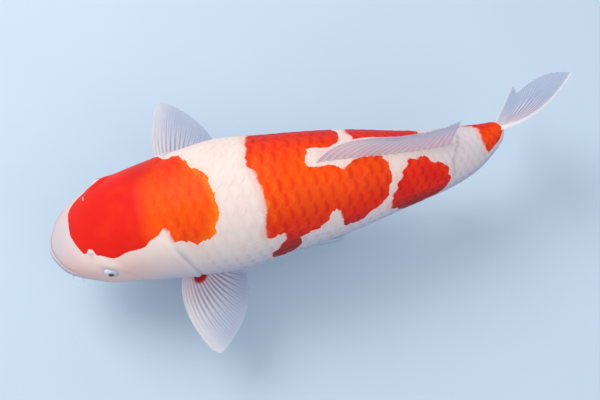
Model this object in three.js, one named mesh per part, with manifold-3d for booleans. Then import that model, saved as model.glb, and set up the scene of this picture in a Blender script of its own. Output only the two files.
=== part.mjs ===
/**
 * Koi carp of the Kohaku kind: a still, life-size model on a plain display stand.
 *
 * Millimetres, +Z up. The fish heads towards -X with its left side to -Y, and its tail sweeps to +Y.
 * The origin is the middle of the underside of the stand's base.
 *
 * The body is one loft of rounded sections along a bending spine. Thin cuts part it into head, jaw,
 * gill covers and three lengths of trunk. Each fin is a fan of curved rays under one closed sheet,
 * thick at the root and thin at the margin.
 */
import * as THREE from 'three';
import { mergeVertices } from 'three/addons/utils/BufferGeometryUtils.js';
import Module from 'manifold-3d';

const wasm = await Module();
wasm.setup();

// ---- Driving dimensions -------------------------------------------------------------------------

const LENGTH = 600; // tip of the snout to the end of the scaled body, along the spine
const GAP = 0.3; // every cut and every joint between neighbours
const RINGS = 40; // sections along the body
const SIDES = 28; // points round each section

const TAIL_BEND = 44; // degrees of turn in the tail sweep
const BEND_FROM = 0.72; // where along the body the turn starts
const BEND_TO = 1.25; // where it would be complete, beyond the tail root

const MIDLINE_HEIGHT = 148; // middle of the trunk above the floor
const BASE_CENTRE_X = 264; // middle of the stand's base, back from the snout
const BASE_SIZE = { length: 250, width: 76, height: 12, corner: 14, bevel: 1.5 };
const ROD = { radius: 6, spacing: 156, sides: 20 };

// Body sections, all as fractions of LENGTH: place along the spine, half width, height of back and
// belly from the middle of the trunk, height of the widest level, and how square the section is.
const SECTIONS = [
  { name: 'lip', at: 0.0, half: 0.0, back: -0.06, belly: -0.06, widest: -0.06, square: 2.0 },
  { name: 'muzzle', at: 0.012, half: 0.036, back: -0.036, belly: -0.082, widest: -0.06, square: 2.1 },
  { name: 'barbel', at: 0.04, half: 0.069, back: -0.006, belly: -0.101, widest: -0.053, square: 2.2 },
  { name: 'nostril', at: 0.08, half: 0.089, back: 0.03, belly: -0.112, widest: -0.042, square: 2.3 },
  { name: 'eye', at: 0.13, half: 0.107, back: 0.062, belly: -0.12, widest: -0.03, square: 2.3 },
  { name: 'cheek', at: 0.2, half: 0.118, back: 0.097, belly: -0.132, widest: -0.018, square: 2.3 },
  { name: 'gill', at: 0.3, half: 0.13, back: 0.128, belly: -0.144, widest: -0.012, square: 2.3 },
  { name: 'shoulder', at: 0.39, half: 0.137, back: 0.146, belly: -0.152, widest: -0.008, square: 2.3 },
  { name: 'midriff', at: 0.49, half: 0.124, back: 0.15, belly: -0.15, widest: -0.004, square: 2.25 },
  { name: 'vent', at: 0.64, half: 0.106, back: 0.131, belly: -0.122, widest: 0.002, square: 2.2 },
  { name: 'anal', at: 0.78, half: 0.078, back: 0.1, belly: -0.084, widest: 0.006, square: 2.1 },
  { name: 'stalk', at: 0.9, half: 0.057, back: 0.07, belly: -0.058, widest: 0.006, square: 2.0 },
  { name: 'tail_end', at: 1.0, half: 0.021, back: 0.052, belly: -0.05, widest: 0.005, square: 2.0 },
];

const NAPE = 0.205; // back of the skull, where the scales start
const TRUNK_CUT = 0.5; // between the two lengths of trunk
const STALK_CUT = 0.78; // between trunk and tail stalk

const EYE = { at: 0.135, side: 56, height: 6, radius: 8.5, orbitRadius: 14.5, orbitDepth: 8 };
const MOUTH = { height: -40, slope: 13, hingeX: 56 };
const GILL_COVER = {
  x: 136,
  height: -17,
  halfLength: 39,
  halfHeight: 50,
  lean: 12,
  thickness: 8,
  inner: 26,
};

const BARBELS = [
  { name: 'lip', at: 0.036, angle: 96, radius: 1.4, out: 9, aft: 0, down: 13 },
  { name: 'corner', at: 0.06, angle: 104, radius: 1.8, out: 9, aft: -11, down: 15 },
];

// Half thickness of every fin at its root and at its margin.
const FIN_ROOT = 1.6;
const FIN_MARGIN = 0.45;

// Pectoral fins, as a fan in a nearly level plane. Angles are in degrees from straight out to the
// side, positive towards the tail; reach is from the hub of the fan to the margin.
const PECTORAL = {
  hub: { x: 176, side: 62, height: -59 },
  rootFront: { x: 164, side: 55 },
  rootRear: { x: 190, side: 49 },
  fan: [
    { ray: 0.0, angle: 3, reach: 109, start: -28 },
    { ray: 0.25, angle: 12, reach: 111, start: -12 },
    { ray: 0.5, angle: 27, reach: 97, start: 8 },
    { ray: 0.75, angle: 48, reach: 81, start: 26 },
    { ray: 1.0, angle: 76, reach: 66, start: 50 },
  ],
  lift: { left: 4, right: 14 },
  sweep: { left: 0, right: -10 },
  spread: { left: 1, right: 0.92 },
};

// Dorsal fin: each ray's tip, and the point it bows towards, from its root: towards the tail, to the
// fish's right, and up.
const DORSAL = {
  from: 0.572,
  to: 0.862,
  sunk: 6,
  fan: [
    { ray: 0.0, aft: 82, right: 13, up: 9, bowAft: 26, bowRight: 23, bowUp: 17 },
    { ray: 0.25, aft: 67, right: 12, up: 10, bowAft: 26, bowRight: 12, bowUp: 12 },
    { ray: 0.5, aft: 53, right: 14, up: 13, bowAft: 24, bowRight: 8, bowUp: 10 },
    { ray: 0.75, aft: 36, right: 16, up: 17, bowAft: 16, bowRight: 8, bowUp: 12 },
    { ray: 1.0, aft: 20, right: 19, up: 21, bowAft: 9, bowRight: 9, bowUp: 14 },
  ],
};

// Caudal fin, from its upper edge (level 1) to its lower edge (level -1), about the end of the
// spine. The sheet twists: the upper lobe trails behind the sweep and the lower lobe leads it.
const CAUDAL = {
  root: 0.98,
  sunkHalfHeight: 26,
  rootHeight: 1,
  fan: [
    { ray: -1.0, heading: 55, reach: 105, height: -66, start: 52 },
    { ray: -0.5, heading: 53, reach: 86, height: -38, start: 42 },
    { ray: 0.0, heading: 50, reach: 65, height: 0, start: 30 },
    { ray: 0.5, heading: 33, reach: 87, height: 47, start: 8 },
    { ray: 1.0, heading: 19, reach: 87, height: 82, start: -18 },
  ],
};

// Pelvic fins, folded back under the belly; the first ray is the outer one.
const PELVIC = {
  from: 0.495,
  to: 0.52,
  outerAngle: 155,
  innerAngle: 167,
  fan: [
    { ray: 0.0, aft: 78, out: 8, down: 17 },
    { ray: 0.5, aft: 66, out: 5, down: 17 },
    { ray: 1.0, aft: 44, out: 0, down: 12 },
  ],
};

// Anal fin, folded back under the tail.
const ANAL = {
  from: 0.775,
  to: 0.835,
  sunk: 5,
  fan: [
    { ray: 0.0, aft: 52, right: 8, down: 40 },
    { ray: 0.5, aft: 44, right: 8, down: 30 },
    { ray: 1.0, aft: 30, right: 7, down: 16 },
  ],
};

const WHITE = 0xf3e9e2;
const RED = 0xee3a1c;

// ---- Curves and frames --------------------------------------------------------------------------

const radians = THREE.MathUtils.degToRad;

/** Smooth curve through the rows of a table that never swings past them (monotone cubic). */
function through(rows, input, output) {
  const x = rows.map(input);
  const y = rows.map(output);
  const last = x.length - 1;
  const step = x.slice(1).map((value, i) => value - x[i]);
  const slope = step.map((width, i) => (y[i + 1] - y[i]) / width);
  const tangent = y.map((_, i) => {
    if (i === 0) return slope[0];
    if (i === last) return slope[last - 1];
    if (slope[i - 1] * slope[i] <= 0) return 0;
    const before = 2 * step[i] + step[i - 1];
    const after = step[i] + 2 * step[i - 1];
    return (before + after) / (before / slope[i - 1] + after / slope[i]);
  });
  return (value) => {
    let i = 0;
    while (i < last - 1 && value > x[i + 1]) i += 1;
    const s = (value - x[i]) / step[i];
    const r = 1 - s;
    return (
      y[i] * (1 + 2 * s) * r * r +
      step[i] * tangent[i] * s * r * r +
      y[i + 1] * s * s * (3 - 2 * s) -
      step[i] * tangent[i + 1] * s * s * r
    );
  };
}

/** Curves of a fin's table, one for each of its columns. */
function fanCurves(fan) {
  const columns = Object.keys(fan[0]).filter((key) => key !== 'ray');
  return Object.fromEntries(columns.map((key) => [key, through(fan, (row) => row.ray, (row) => row[key])]));
}

// The square root of the place gives the snout its blunt, round end.
const sectionCurve = (key) => through(SECTIONS, (row) => Math.sqrt(row.at), (row) => row[key] * LENGTH);
const halfWidth = sectionCurve('half');
const backHeight = sectionCurve('back');
const bellyHeight = sectionCurve('belly');
const widestHeight = sectionCurve('widest');
const squareness = through(SECTIONS, (row) => Math.sqrt(row.at), (row) => row.square);

/** Direction of the spine, in radians from +X towards +Y: straight, then a smooth turn. */
function heading(at) {
  return radians(TAIL_BEND) * THREE.MathUtils.smoothstep(at, BEND_FROM, BEND_TO);
}

/** Point of the spine with its directions towards the tail and towards the fish's right side. */
function spine(at) {
  const steps = 200;
  const width = (at * LENGTH) / steps;
  const place = new THREE.Vector3(-BASE_CENTRE_X, 0, MIDLINE_HEIGHT);
  for (let i = 0; i < steps; i += 1) {
    const angle = heading(((i + 0.5) / steps) * at);
    place.x += Math.cos(angle) * width;
    place.y += Math.sin(angle) * width;
  }
  const turn = heading(at);
  return {
    place,
    aft: new THREE.Vector3(Math.cos(turn), Math.sin(turn), 0),
    right: new THREE.Vector3(-Math.sin(turn), Math.cos(turn), 0),
    up: new THREE.Vector3(0, 0, 1),
  };
}

/** Moves a point by lengths along the directions of a spine frame. */
function moved(from, frame, { aft = 0, right = 0, up = 0 }) {
  return from
    .clone()
    .addScaledVector(frame.aft, aft)
    .addScaledVector(frame.right, right)
    .addScaledVector(frame.up, up);
}

/** Point of the body's surface: angle 0 is the back, 90 the left flank, 180 the belly; grow is outwards. */
function surface(at, angle, grow = 0, frame = spine(at)) {
  const key = Math.sqrt(at);
  const power = 2 / squareness(key);
  const rounded = (value) => Math.sign(value) * Math.abs(value) ** power;
  const sideways = rounded(Math.sin(radians(angle)));
  const upward = rounded(Math.cos(radians(angle)));
  const level = widestHeight(key);
  const rise = upward > 0 ? backHeight(key) + grow - level : level - bellyHeight(key) + grow;
  const right = -(halfWidth(key) + grow) * sideways;
  return moved(frame.place, frame, { right, up: level + rise * upward });
}

/** Quadratic curve from root to tip, drawn towards the bow. */
function curved(root, bow, tip) {
  return new THREE.QuadraticBezierCurve3(root, bow, tip);
}

// ---- Solids -------------------------------------------------------------------------------------

/** three.js geometry as a solid that can be joined and cut. */
function solid(geometry) {
  const bare = geometry.clone();
  bare.deleteAttribute('normal');
  bare.deleteAttribute('uv');
  const merged = mergeVertices(bare, 1e-4);
  return new wasm.Manifold(
    new wasm.Mesh({
      numProp: 3,
      vertProperties: new Float32Array(merged.attributes.position.array),
      triVerts: new Uint32Array(merged.index.array),
    }),
  );
}

/** A cut solid back as three.js geometry. */
function geometryOf(shape) {
  const mesh = shape.getMesh();
  const geometry = new THREE.BufferGeometry();
  geometry.setAttribute('position', new THREE.BufferAttribute(new Float32Array(mesh.vertProperties), 3));
  geometry.setIndex(new THREE.BufferAttribute(new Uint32Array(mesh.triVerts), 1));
  geometry.computeVertexNormals();
  return geometry;
}

/** Indexed geometry with its faces turned outwards. */
function closedGeometry(points, triangles) {
  const middle = new THREE.Vector3();
  const volume = triangles.reduce((sum, [a, b, c]) => {
    return sum + points[a].dot(middle.crossVectors(points[b], points[c]));
  }, 0);
  const geometry = new THREE.BufferGeometry().setFromPoints(points);
  geometry.setIndex(triangles.flatMap(([a, b, c]) => (volume > 0 ? [a, b, c] : [a, c, b])));
  return geometry;
}

/** Closed loft through rings of equal count; each end closes on the middle of its ring. */
function loft(rings) {
  const count = rings[0].length;
  const points = rings.flat();
  const triangles = [];
  for (let i = 0; i + 1 < rings.length; i += 1) {
    for (let j = 0; j < count; j += 1) {
      const a = i * count + j;
      const b = i * count + ((j + 1) % count);
      triangles.push([a, b, b + count], [a, b + count, a + count]);
    }
  }
  const cap = (ring, offset, flip) => {
    const centre = ring.reduce((sum, point) => sum.add(point), new THREE.Vector3()).divideScalar(count);
    points.push(centre);
    for (let j = 0; j < count; j += 1) {
      const pair = [offset + j, offset + ((j + 1) % count)];
      triangles.push([points.length - 1, ...(flip ? pair : pair.reverse())]);
    }
  };
  cap(rings[0], 0, false);
  cap(rings.at(-1), (rings.length - 1) * count, true);
  return closedGeometry(points, triangles);
}

/** The whole body, grown outwards by some millimetres. */
function bodyLoft(grow = 0) {
  const rings = [];
  for (let i = 0; i <= RINGS; i += 1) {
    const at = Math.max((i / RINGS) ** 1.5, 0.0004);
    const frame = spine(at);
    frame.place.addScaledVector(frame.aft, i === RINGS ? grow : 0);
    rings.push(Array.from({ length: SIDES }, (_, j) => surface(at, (360 * j) / SIDES, grow, frame)));
  }
  return solid(loft(rings));
}

/** Tapered round feeler along a curve, with a rounded-off tip. */
function feeler(curve, radius, steps, sides) {
  const frames = curve.computeFrenetFrames(steps);
  const rings = [];
  for (let i = 0; i <= steps; i += 1) {
    const s = i / steps;
    const size = radius * (1 - 0.6 * s);
    const centre = curve.getPoint(s);
    const ring = [];
    for (let j = 0; j < sides; j += 1) {
      const turn = (2 * Math.PI * j) / sides;
      ring.push(
        centre
          .clone()
          .addScaledVector(frames.normals[i], size * Math.cos(turn))
          .addScaledVector(frames.binormals[i], size * Math.sin(turn)),
      );
    }
    rings.push(ring);
  }
  return solid(loft(rings));
}

/** Closed sheet over a fan of rays: rayAt gives the curve of each ray, from first (0) to last (1). */
function finSheet(rayAt, rays, steps) {
  const grid = [];
  for (let k = 0; k < rays; k += 1) {
    const curve = rayAt(k / (rays - 1));
    grid.push(Array.from({ length: steps }, (_, i) => curve.getPoint(i / (steps - 1))));
  }
  const points = [];
  for (const face of [1, -1]) {
    for (let k = 0; k < rays; k += 1) {
      for (let i = 0; i < steps; i += 1) {
        const along = grid[k][Math.min(i + 1, steps - 1)].clone().sub(grid[k][Math.max(i - 1, 0)]);
        const across = grid[Math.min(k + 1, rays - 1)][i].clone().sub(grid[Math.max(k - 1, 0)][i]);
        const outward = along.cross(across).normalize();
        const half = THREE.MathUtils.lerp(FIN_ROOT, FIN_MARGIN, i / (steps - 1));
        points.push(grid[k][i].clone().addScaledVector(outward, face * half));
      }
    }
  }
  const layer = rays * steps;
  const triangles = [];
  for (let k = 0; k + 1 < rays; k += 1) {
    for (let i = 0; i + 1 < steps; i += 1) {
      const a = k * steps + i;
      const b = a + steps;
      triangles.push([a, b, b + 1], [a, b + 1, a + 1]);
      triangles.push([layer + a, layer + b + 1, layer + b], [layer + a, layer + a + 1, layer + b + 1]);
    }
  }
  const rim = [];
  for (let i = 0; i < steps; i += 1) rim.push(i);
  for (let k = 1; k < rays; k += 1) rim.push(k * steps + steps - 1);
  for (let i = steps - 2; i >= 0; i -= 1) rim.push((rays - 1) * steps + i);
  for (let k = rays - 2; k > 0; k -= 1) rim.push(k * steps);
  rim.forEach((a, i) => {
    const b = rim[(i + 1) % rim.length];
    triangles.push([a, b, layer + b], [a, layer + b, layer + a]);
  });
  return solid(closedGeometry(points, triangles));
}

/** Everything ahead of (side -1) or behind (side 1) a cut square to the spine. */
function beyondCut(at, side) {
  const frame = spine(at);
  const reach = 2 * LENGTH;
  const block = new THREE.BoxGeometry(reach, reach, reach);
  block.translate(side * (reach / 2 - GAP / 2), 0, 0);
  block.rotateZ(heading(at));
  block.translate(frame.place.x, frame.place.y, frame.place.z);
  return solid(block);
}

// ---- The fish -----------------------------------------------------------------------------------

const body = bodyLoft();
const clearance = bodyLoft(GAP); // cuts the fins, feelers and rods off just short of the skin

const fish = new THREE.Group();

function addPart(name, shape, color, roughness = 0.35, metalness = 0) {
  const material = new THREE.MeshStandardMaterial({ color, roughness, metalness });
  const mesh = new THREE.Mesh(geometryOf(shape), material);
  mesh.name = name;
  fish.add(mesh);
}

const SIDE = { left: -1, right: 1 };

/** Ball about the eye's own centre: the eyeball, its socket or the raised orbit round it. */
function eyeBall(side, radius, depth = 0) {
  const frame = spine(EYE.at);
  const reach = { right: side * (EYE.side - depth), up: EYE.height - depth / 2 };
  const centre = moved(frame.place, frame, reach);
  const ball = new THREE.SphereGeometry(radius, 16, 10);
  ball.translate(centre.x, centre.y, centre.z);
  return solid(ball);
}

/** Oval block through the flank that outlines a gill cover, leaning back at the top. */
function gillOutline(side, grow) {
  const outline = new THREE.Shape();
  const length = GILL_COVER.halfLength + grow;
  const height = GILL_COVER.halfHeight + grow;
  outline.absellipse(0, 0, length, height, 0, 2 * Math.PI, false, radians(-GILL_COVER.lean));
  const depth = LENGTH / 4;
  const block = new THREE.ExtrudeGeometry(outline, { depth, bevelEnabled: false, curveSegments: 12 });
  block.rotateX(Math.PI / 2);
  const shift = side > 0 ? depth + GILL_COVER.inner : -GILL_COVER.inner;
  block.translate(GILL_COVER.x - BASE_CENTRE_X, shift, MIDLINE_HEIGHT + GILL_COVER.height);
  return solid(block);
}

/** Block below the slit of the mouth and ahead of the jaw's hinge. */
function jawBlock(grow) {
  const reach = LENGTH / 2;
  const block = new THREE.BoxGeometry(reach, reach, reach);
  block.translate(-reach / 2 + MOUTH.hingeX + grow, 0, -reach / 2 + grow);
  block.rotateY(radians(MOUTH.slope));
  block.translate(-BASE_CENTRE_X, 0, MIDLINE_HEIGHT + MOUTH.height);
  return solid(block);
}

let flesh = body;
for (const side of Object.values(SIDE)) {
  const orbit = eyeBall(side, EYE.orbitRadius, EYE.orbitDepth);
  flesh = flesh.add(orbit).subtract(eyeBall(side, EYE.radius + GAP));
}

const underCovers = bodyLoft(-GILL_COVER.thickness);
const coverBed = bodyLoft(-GILL_COVER.thickness - GAP);
let withoutCovers = flesh;
for (const [name, side] of Object.entries(SIDE)) {
  addPart(`gill_cover_${name}`, flesh.intersect(gillOutline(side, 0)).subtract(underCovers), WHITE);
  withoutCovers = withoutCovers.subtract(gillOutline(side, GAP).subtract(coverBed));
}

const skull = withoutCovers.subtract(beyondCut(NAPE, 1));
addPart('head', skull.subtract(jawBlock(GAP)), RED);
addPart('jaw', skull.intersect(jawBlock(0)), WHITE);
const frontTrunk = withoutCovers.subtract(beyondCut(NAPE, -1)).subtract(beyondCut(TRUNK_CUT, 1));
addPart('trunk_front', frontTrunk, WHITE);
const rearTrunk = flesh.subtract(beyondCut(TRUNK_CUT, -1)).subtract(beyondCut(STALK_CUT, 1));
addPart('trunk_rear', rearTrunk, RED);
addPart('tail_stalk', flesh.subtract(beyondCut(STALK_CUT, -1)), WHITE);

for (const [name, side] of Object.entries(SIDE)) {
  addPart(`eye_${name}`, eyeBall(side, EYE.radius), 0x16130f, 0.08);
}

for (const barbel of BARBELS) {
  for (const [name, side] of Object.entries(SIDE)) {
    const frame = spine(barbel.at);
    const root = surface(barbel.at, -side * barbel.angle, -4);
    const bow = moved(root, frame, { right: side * barbel.out, aft: 3, up: -barbel.down * 0.3 });
    const tip = moved(root, frame, { right: side * barbel.out, aft: barbel.aft, up: -barbel.down });
    const shape = feeler(curved(root, bow, tip), barbel.radius, 7, 8).subtract(clearance);
    addPart(`barbel_${barbel.name}_${name}`, shape, WHITE, 0.4);
  }
}

/** One ray of a pectoral fin. */
function pectoralRay(sideName, k, fan) {
  const side = SIDE[sideName];
  const { hub, rootFront, rootRear } = PECTORAL;
  const lift = radians(PECTORAL.lift[sideName]);
  const place = (x, out) => {
    const level = hub.height + (out - hub.side) * Math.sin(lift);
    const across = hub.side + (out - hub.side) * Math.cos(lift);
    return new THREE.Vector3(x - BASE_CENTRE_X, side * across, MIDLINE_HEIGHT + level);
  };
  const rootX = THREE.MathUtils.lerp(rootFront.x, rootRear.x, k);
  const rootOut = THREE.MathUtils.lerp(rootFront.side, rootRear.side, k);
  const turn = (degrees) => radians(degrees * PECTORAL.spread[sideName] + PECTORAL.sweep[sideName]);
  const angle = turn(fan.angle(k));
  const start = turn(fan.start(k));
  const bowReach = fan.reach(k) / 2;
  return curved(
    place(rootX, rootOut),
    place(rootX + bowReach * Math.sin(start), rootOut + bowReach * Math.cos(start)),
    place(hub.x + fan.reach(k) * Math.sin(angle), hub.side + fan.reach(k) * Math.cos(angle)),
  );
}

const pectoralFan = fanCurves(PECTORAL.fan);
for (const name of Object.keys(SIDE)) {
  const sheet = finSheet((k) => pectoralRay(name, k, pectoralFan), 13, 7);
  addPart(`fin_pectoral_${name}`, sheet.subtract(clearance), WHITE);
}

/** One ray of the dorsal fin: it leaves the back steeply and then lies over. */
function dorsalRay(k, fan) {
  const at = THREE.MathUtils.lerp(DORSAL.from, DORSAL.to, k);
  const frame = spine(at);
  const crest = surface(at, 0);
  const bow = moved(crest, frame, { aft: fan.bowAft(k), right: fan.bowRight(k), up: fan.bowUp(k) });
  const tip = moved(crest, frame, { aft: fan.aft(k), right: fan.right(k), up: fan.up(k) });
  return curved(moved(crest, frame, { up: -DORSAL.sunk }), bow, tip);
}

const dorsalFan = fanCurves(DORSAL.fan);
addPart('fin_dorsal', finSheet((k) => dorsalRay(k, dorsalFan), 17, 6).subtract(clearance), WHITE);

/** One ray of the caudal fin, from level 1 (upper edge) to -1 (lower edge). */
function caudalRay(level, fan) {
  const frame = spine(CAUDAL.root);
  const end = spine(1).place;
  const height = CAUDAL.rootHeight + CAUDAL.sunkHalfHeight * level;
  const root = moved(frame.place, frame, { up: height });
  const towards = (degrees, reach, rise) =>
    new THREE.Vector3(reach * Math.cos(radians(degrees)), reach * Math.sin(radians(degrees)), rise);
  const tip = end.clone().add(towards(fan.heading(level), fan.reach(level), fan.height(level)));
  const rise = (fan.height(level) - height) * 0.55;
  return curved(root, root.clone().add(towards(fan.start(level), fan.reach(level) * 0.55, rise)), tip);
}

const caudalFan = fanCurves(CAUDAL.fan);
const lobeGap = 0.006; // leaves the two lobes a hair apart at the fork
const lobes = { upper: [1, lobeGap], lower: [-lobeGap, -1] };
for (const [name, [from, to]] of Object.entries(lobes)) {
  const sheet = finSheet((k) => caudalRay(THREE.MathUtils.lerp(from, to, k), caudalFan), 9, 7);
  addPart(`fin_caudal_${name}`, sheet.subtract(clearance), WHITE);
}

/** One ray of a pelvic fin. */
function pelvicRay(side, k, fan) {
  const at = THREE.MathUtils.lerp(PELVIC.from, PELVIC.to, k);
  const angle = THREE.MathUtils.lerp(PELVIC.outerAngle, PELVIC.innerAngle, k);
  const frame = spine(at);
  const skin = surface(at, -side * angle);
  const out = side * fan.out(k);
  const bow = moved(skin, frame, { aft: fan.aft(k) * 0.4, right: out * 0.6, up: -fan.down(k) * 0.85 });
  const tip = moved(skin, frame, { aft: fan.aft(k), right: out, up: -fan.down(k) });
  return curved(surface(at, -side * angle, -5), bow, tip);
}

const pelvicFan = fanCurves(PELVIC.fan);
for (const [name, side] of Object.entries(SIDE)) {
  const sheet = finSheet((k) => pelvicRay(side, k, pelvicFan), 8, 6);
  addPart(`fin_pelvic_${name}`, sheet.subtract(clearance), WHITE);
}

/** One ray of the anal fin. */
function analRay(k, fan) {
  const at = THREE.MathUtils.lerp(ANAL.from, ANAL.to, k);
  const frame = spine(at);
  const keel = surface(at, 180);
  const bowReach = { aft: fan.aft(k) * 0.4, right: fan.right(k) * 0.3, up: -fan.down(k) * 0.6 };
  const bow = moved(keel, frame, bowReach);
  const tip = moved(keel, frame, { aft: fan.aft(k), right: fan.right(k), up: -fan.down(k) });
  return curved(moved(keel, frame, { up: ANAL.sunk }), bow, tip);
}

const analFan = fanCurves(ANAL.fan);
addPart('fin_anal', finSheet((k) => analRay(k, analFan), 8, 6).subtract(clearance), WHITE);

// ---- The display stand --------------------------------------------------------------------------

/** Flat base: a rounded rectangle with a small bevel all round. */
function standBase() {
  const { length, width, height, corner, bevel } = BASE_SIZE;
  const x = length / 2 - bevel;
  const y = width / 2 - bevel;
  const r = corner - bevel;
  const outline = new THREE.Shape();
  outline.absarc(x - r, y - r, r, 0, Math.PI / 2);
  outline.absarc(-x + r, y - r, r, Math.PI / 2, Math.PI);
  outline.absarc(-x + r, -y + r, r, Math.PI, 1.5 * Math.PI);
  outline.absarc(x - r, -y + r, r, 1.5 * Math.PI, 2 * Math.PI);
  const block = new THREE.ExtrudeGeometry(outline, {
    depth: height - 2 * bevel,
    bevelThickness: bevel,
    bevelSize: bevel,
    bevelSegments: 1,
    curveSegments: 5,
  });
  block.translate(0, 0, bevel);
  return solid(block);
}

/** Upright rod from the base to the belly, shaped to it at the top. */
function standRod(x) {
  const height = MIDLINE_HEIGHT - BASE_SIZE.height - GAP;
  const rod = new THREE.CylinderGeometry(ROD.radius, ROD.radius, height, ROD.sides);
  rod.rotateX(Math.PI / 2);
  rod.translate(x, 0, BASE_SIZE.height + GAP + height / 2);
  return solid(rod).subtract(clearance);
}

addPart('stand_base', standBase(), 0xb4c2d0, 0.35);
addPart('stand_rod_front', standRod(-ROD.spacing / 2), 0x8d9196, 0.3, 0.9);
addPart('stand_rod_rear', standRod(ROD.spacing / 2), 0x8d9196, 0.3, 0.9);

export default fish;
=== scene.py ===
"""Koi carp of the Kohaku kind, a still life-size model on a plain display stand: skin, scales, fins and
eyes.

Metres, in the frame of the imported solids: the fish heads towards -X with its left side to -Y and its back
up. The surfaces are worked out from the same sections and curves as the solids. Places along the body run
from 0 at the tip of the snout to 1 at the end of the scaled body, and angles run round it in degrees from 0
at the back through 90 at the left flank to 180 at the belly, with the right side negative.
"""

from functools import partial

import bpy
import numpy as np
from bpy.props import FloatProperty, FloatVectorProperty, IntProperty, PointerProperty
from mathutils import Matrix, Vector


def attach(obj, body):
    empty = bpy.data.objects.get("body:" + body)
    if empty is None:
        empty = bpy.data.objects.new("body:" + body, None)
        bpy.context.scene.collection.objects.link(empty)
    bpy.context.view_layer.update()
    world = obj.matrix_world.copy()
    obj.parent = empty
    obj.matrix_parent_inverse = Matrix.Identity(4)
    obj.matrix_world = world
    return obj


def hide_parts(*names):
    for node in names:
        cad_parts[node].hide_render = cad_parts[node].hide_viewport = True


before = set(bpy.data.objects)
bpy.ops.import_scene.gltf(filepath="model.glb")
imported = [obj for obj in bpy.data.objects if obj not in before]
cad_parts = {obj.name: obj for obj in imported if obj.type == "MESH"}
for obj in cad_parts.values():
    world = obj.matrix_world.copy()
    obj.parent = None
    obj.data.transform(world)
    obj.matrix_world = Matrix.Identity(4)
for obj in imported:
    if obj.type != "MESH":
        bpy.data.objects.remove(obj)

bl_info = {
    "name": "Kohaku koi on a display stand",
    "version": (1, 0, 0),
    "blender": (4, 5, 0),
    "location": "3D View > Sidebar > Koi",
    "description": "Builds the skin, scales, fins, eyes and stand finishes of a life-size koi carp",
    "category": "Add Mesh",
}

MM = 0.001
UP = np.array([0, 0, 1.0])
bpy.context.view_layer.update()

# ---- Tables of the body -------------------------------------------------------------------------

# Place, half width, back, belly and widest level as fractions of the body's length, and squareness.
SECTIONS = np.array([
    (0.0, 0.0, -0.06, -0.06, -0.06, 2.0),  # lip
    (0.012, 0.036, -0.036, -0.082, -0.06, 2.1),  # muzzle
    (0.04, 0.069, -0.006, -0.101, -0.053, 2.2),  # barbel
    (0.08, 0.089, 0.03, -0.112, -0.042, 2.3),  # nostril
    (0.13, 0.107, 0.062, -0.12, -0.03, 2.3),  # eye
    (0.2, 0.118, 0.097, -0.132, -0.018, 2.3),  # cheek
    (0.3, 0.13, 0.128, -0.144, -0.012, 2.3),  # gill
    (0.39, 0.137, 0.146, -0.152, -0.008, 2.3),  # shoulder
    (0.49, 0.124, 0.15, -0.15, -0.004, 2.25),  # midriff
    (0.64, 0.106, 0.131, -0.122, 0.002, 2.2),  # vent
    (0.78, 0.078, 0.1, -0.084, 0.006, 2.1),  # anal
    (0.9, 0.057, 0.07, -0.058, 0.006, 2.0),  # stalk
    (1.0, 0.021, 0.052, -0.05, 0.005, 2.0),  # tail end
])

BEND_FROM, BEND_TO = 0.72, 1.25  # where the sweep of the tail starts, and where it would be complete

# Features of the head, in millimetres and degrees. Height and up are from the spine, x is back from the
# snout, and at is a place, a share of the body's length.
EYE = {"at": 0.135, "side": 56, "up": 6, "orbit_radius": 14.2, "orbit_depth": 8}
MOUTH = {"height": -40, "slope": 13, "corner": 33}
LIP_FOLD = {"height": -27, "slope": 19, "end": 38}  # groove between the snout and the upper lip
GILL_COVER = {"x": 124, "height": -22, "half_length": 60, "half_height": 96}
NOSTRIL = {"at": 0.102, "angle": 35, "flap_up": 2.9, "flap_back": 0.75, "flap_wide": 3.3, "flap_lean": 0.16}

# Where the scales begin, behind the skull on top and behind the gill cover at the sides: angle and place.
SCALE_LINE = np.array([
    (0, 0.212), (20, 0.218), (32, 0.242), (45, 0.272), (62, 0.298), (100, 0.312), (130, 0.285), (180, 0.27)])

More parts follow.
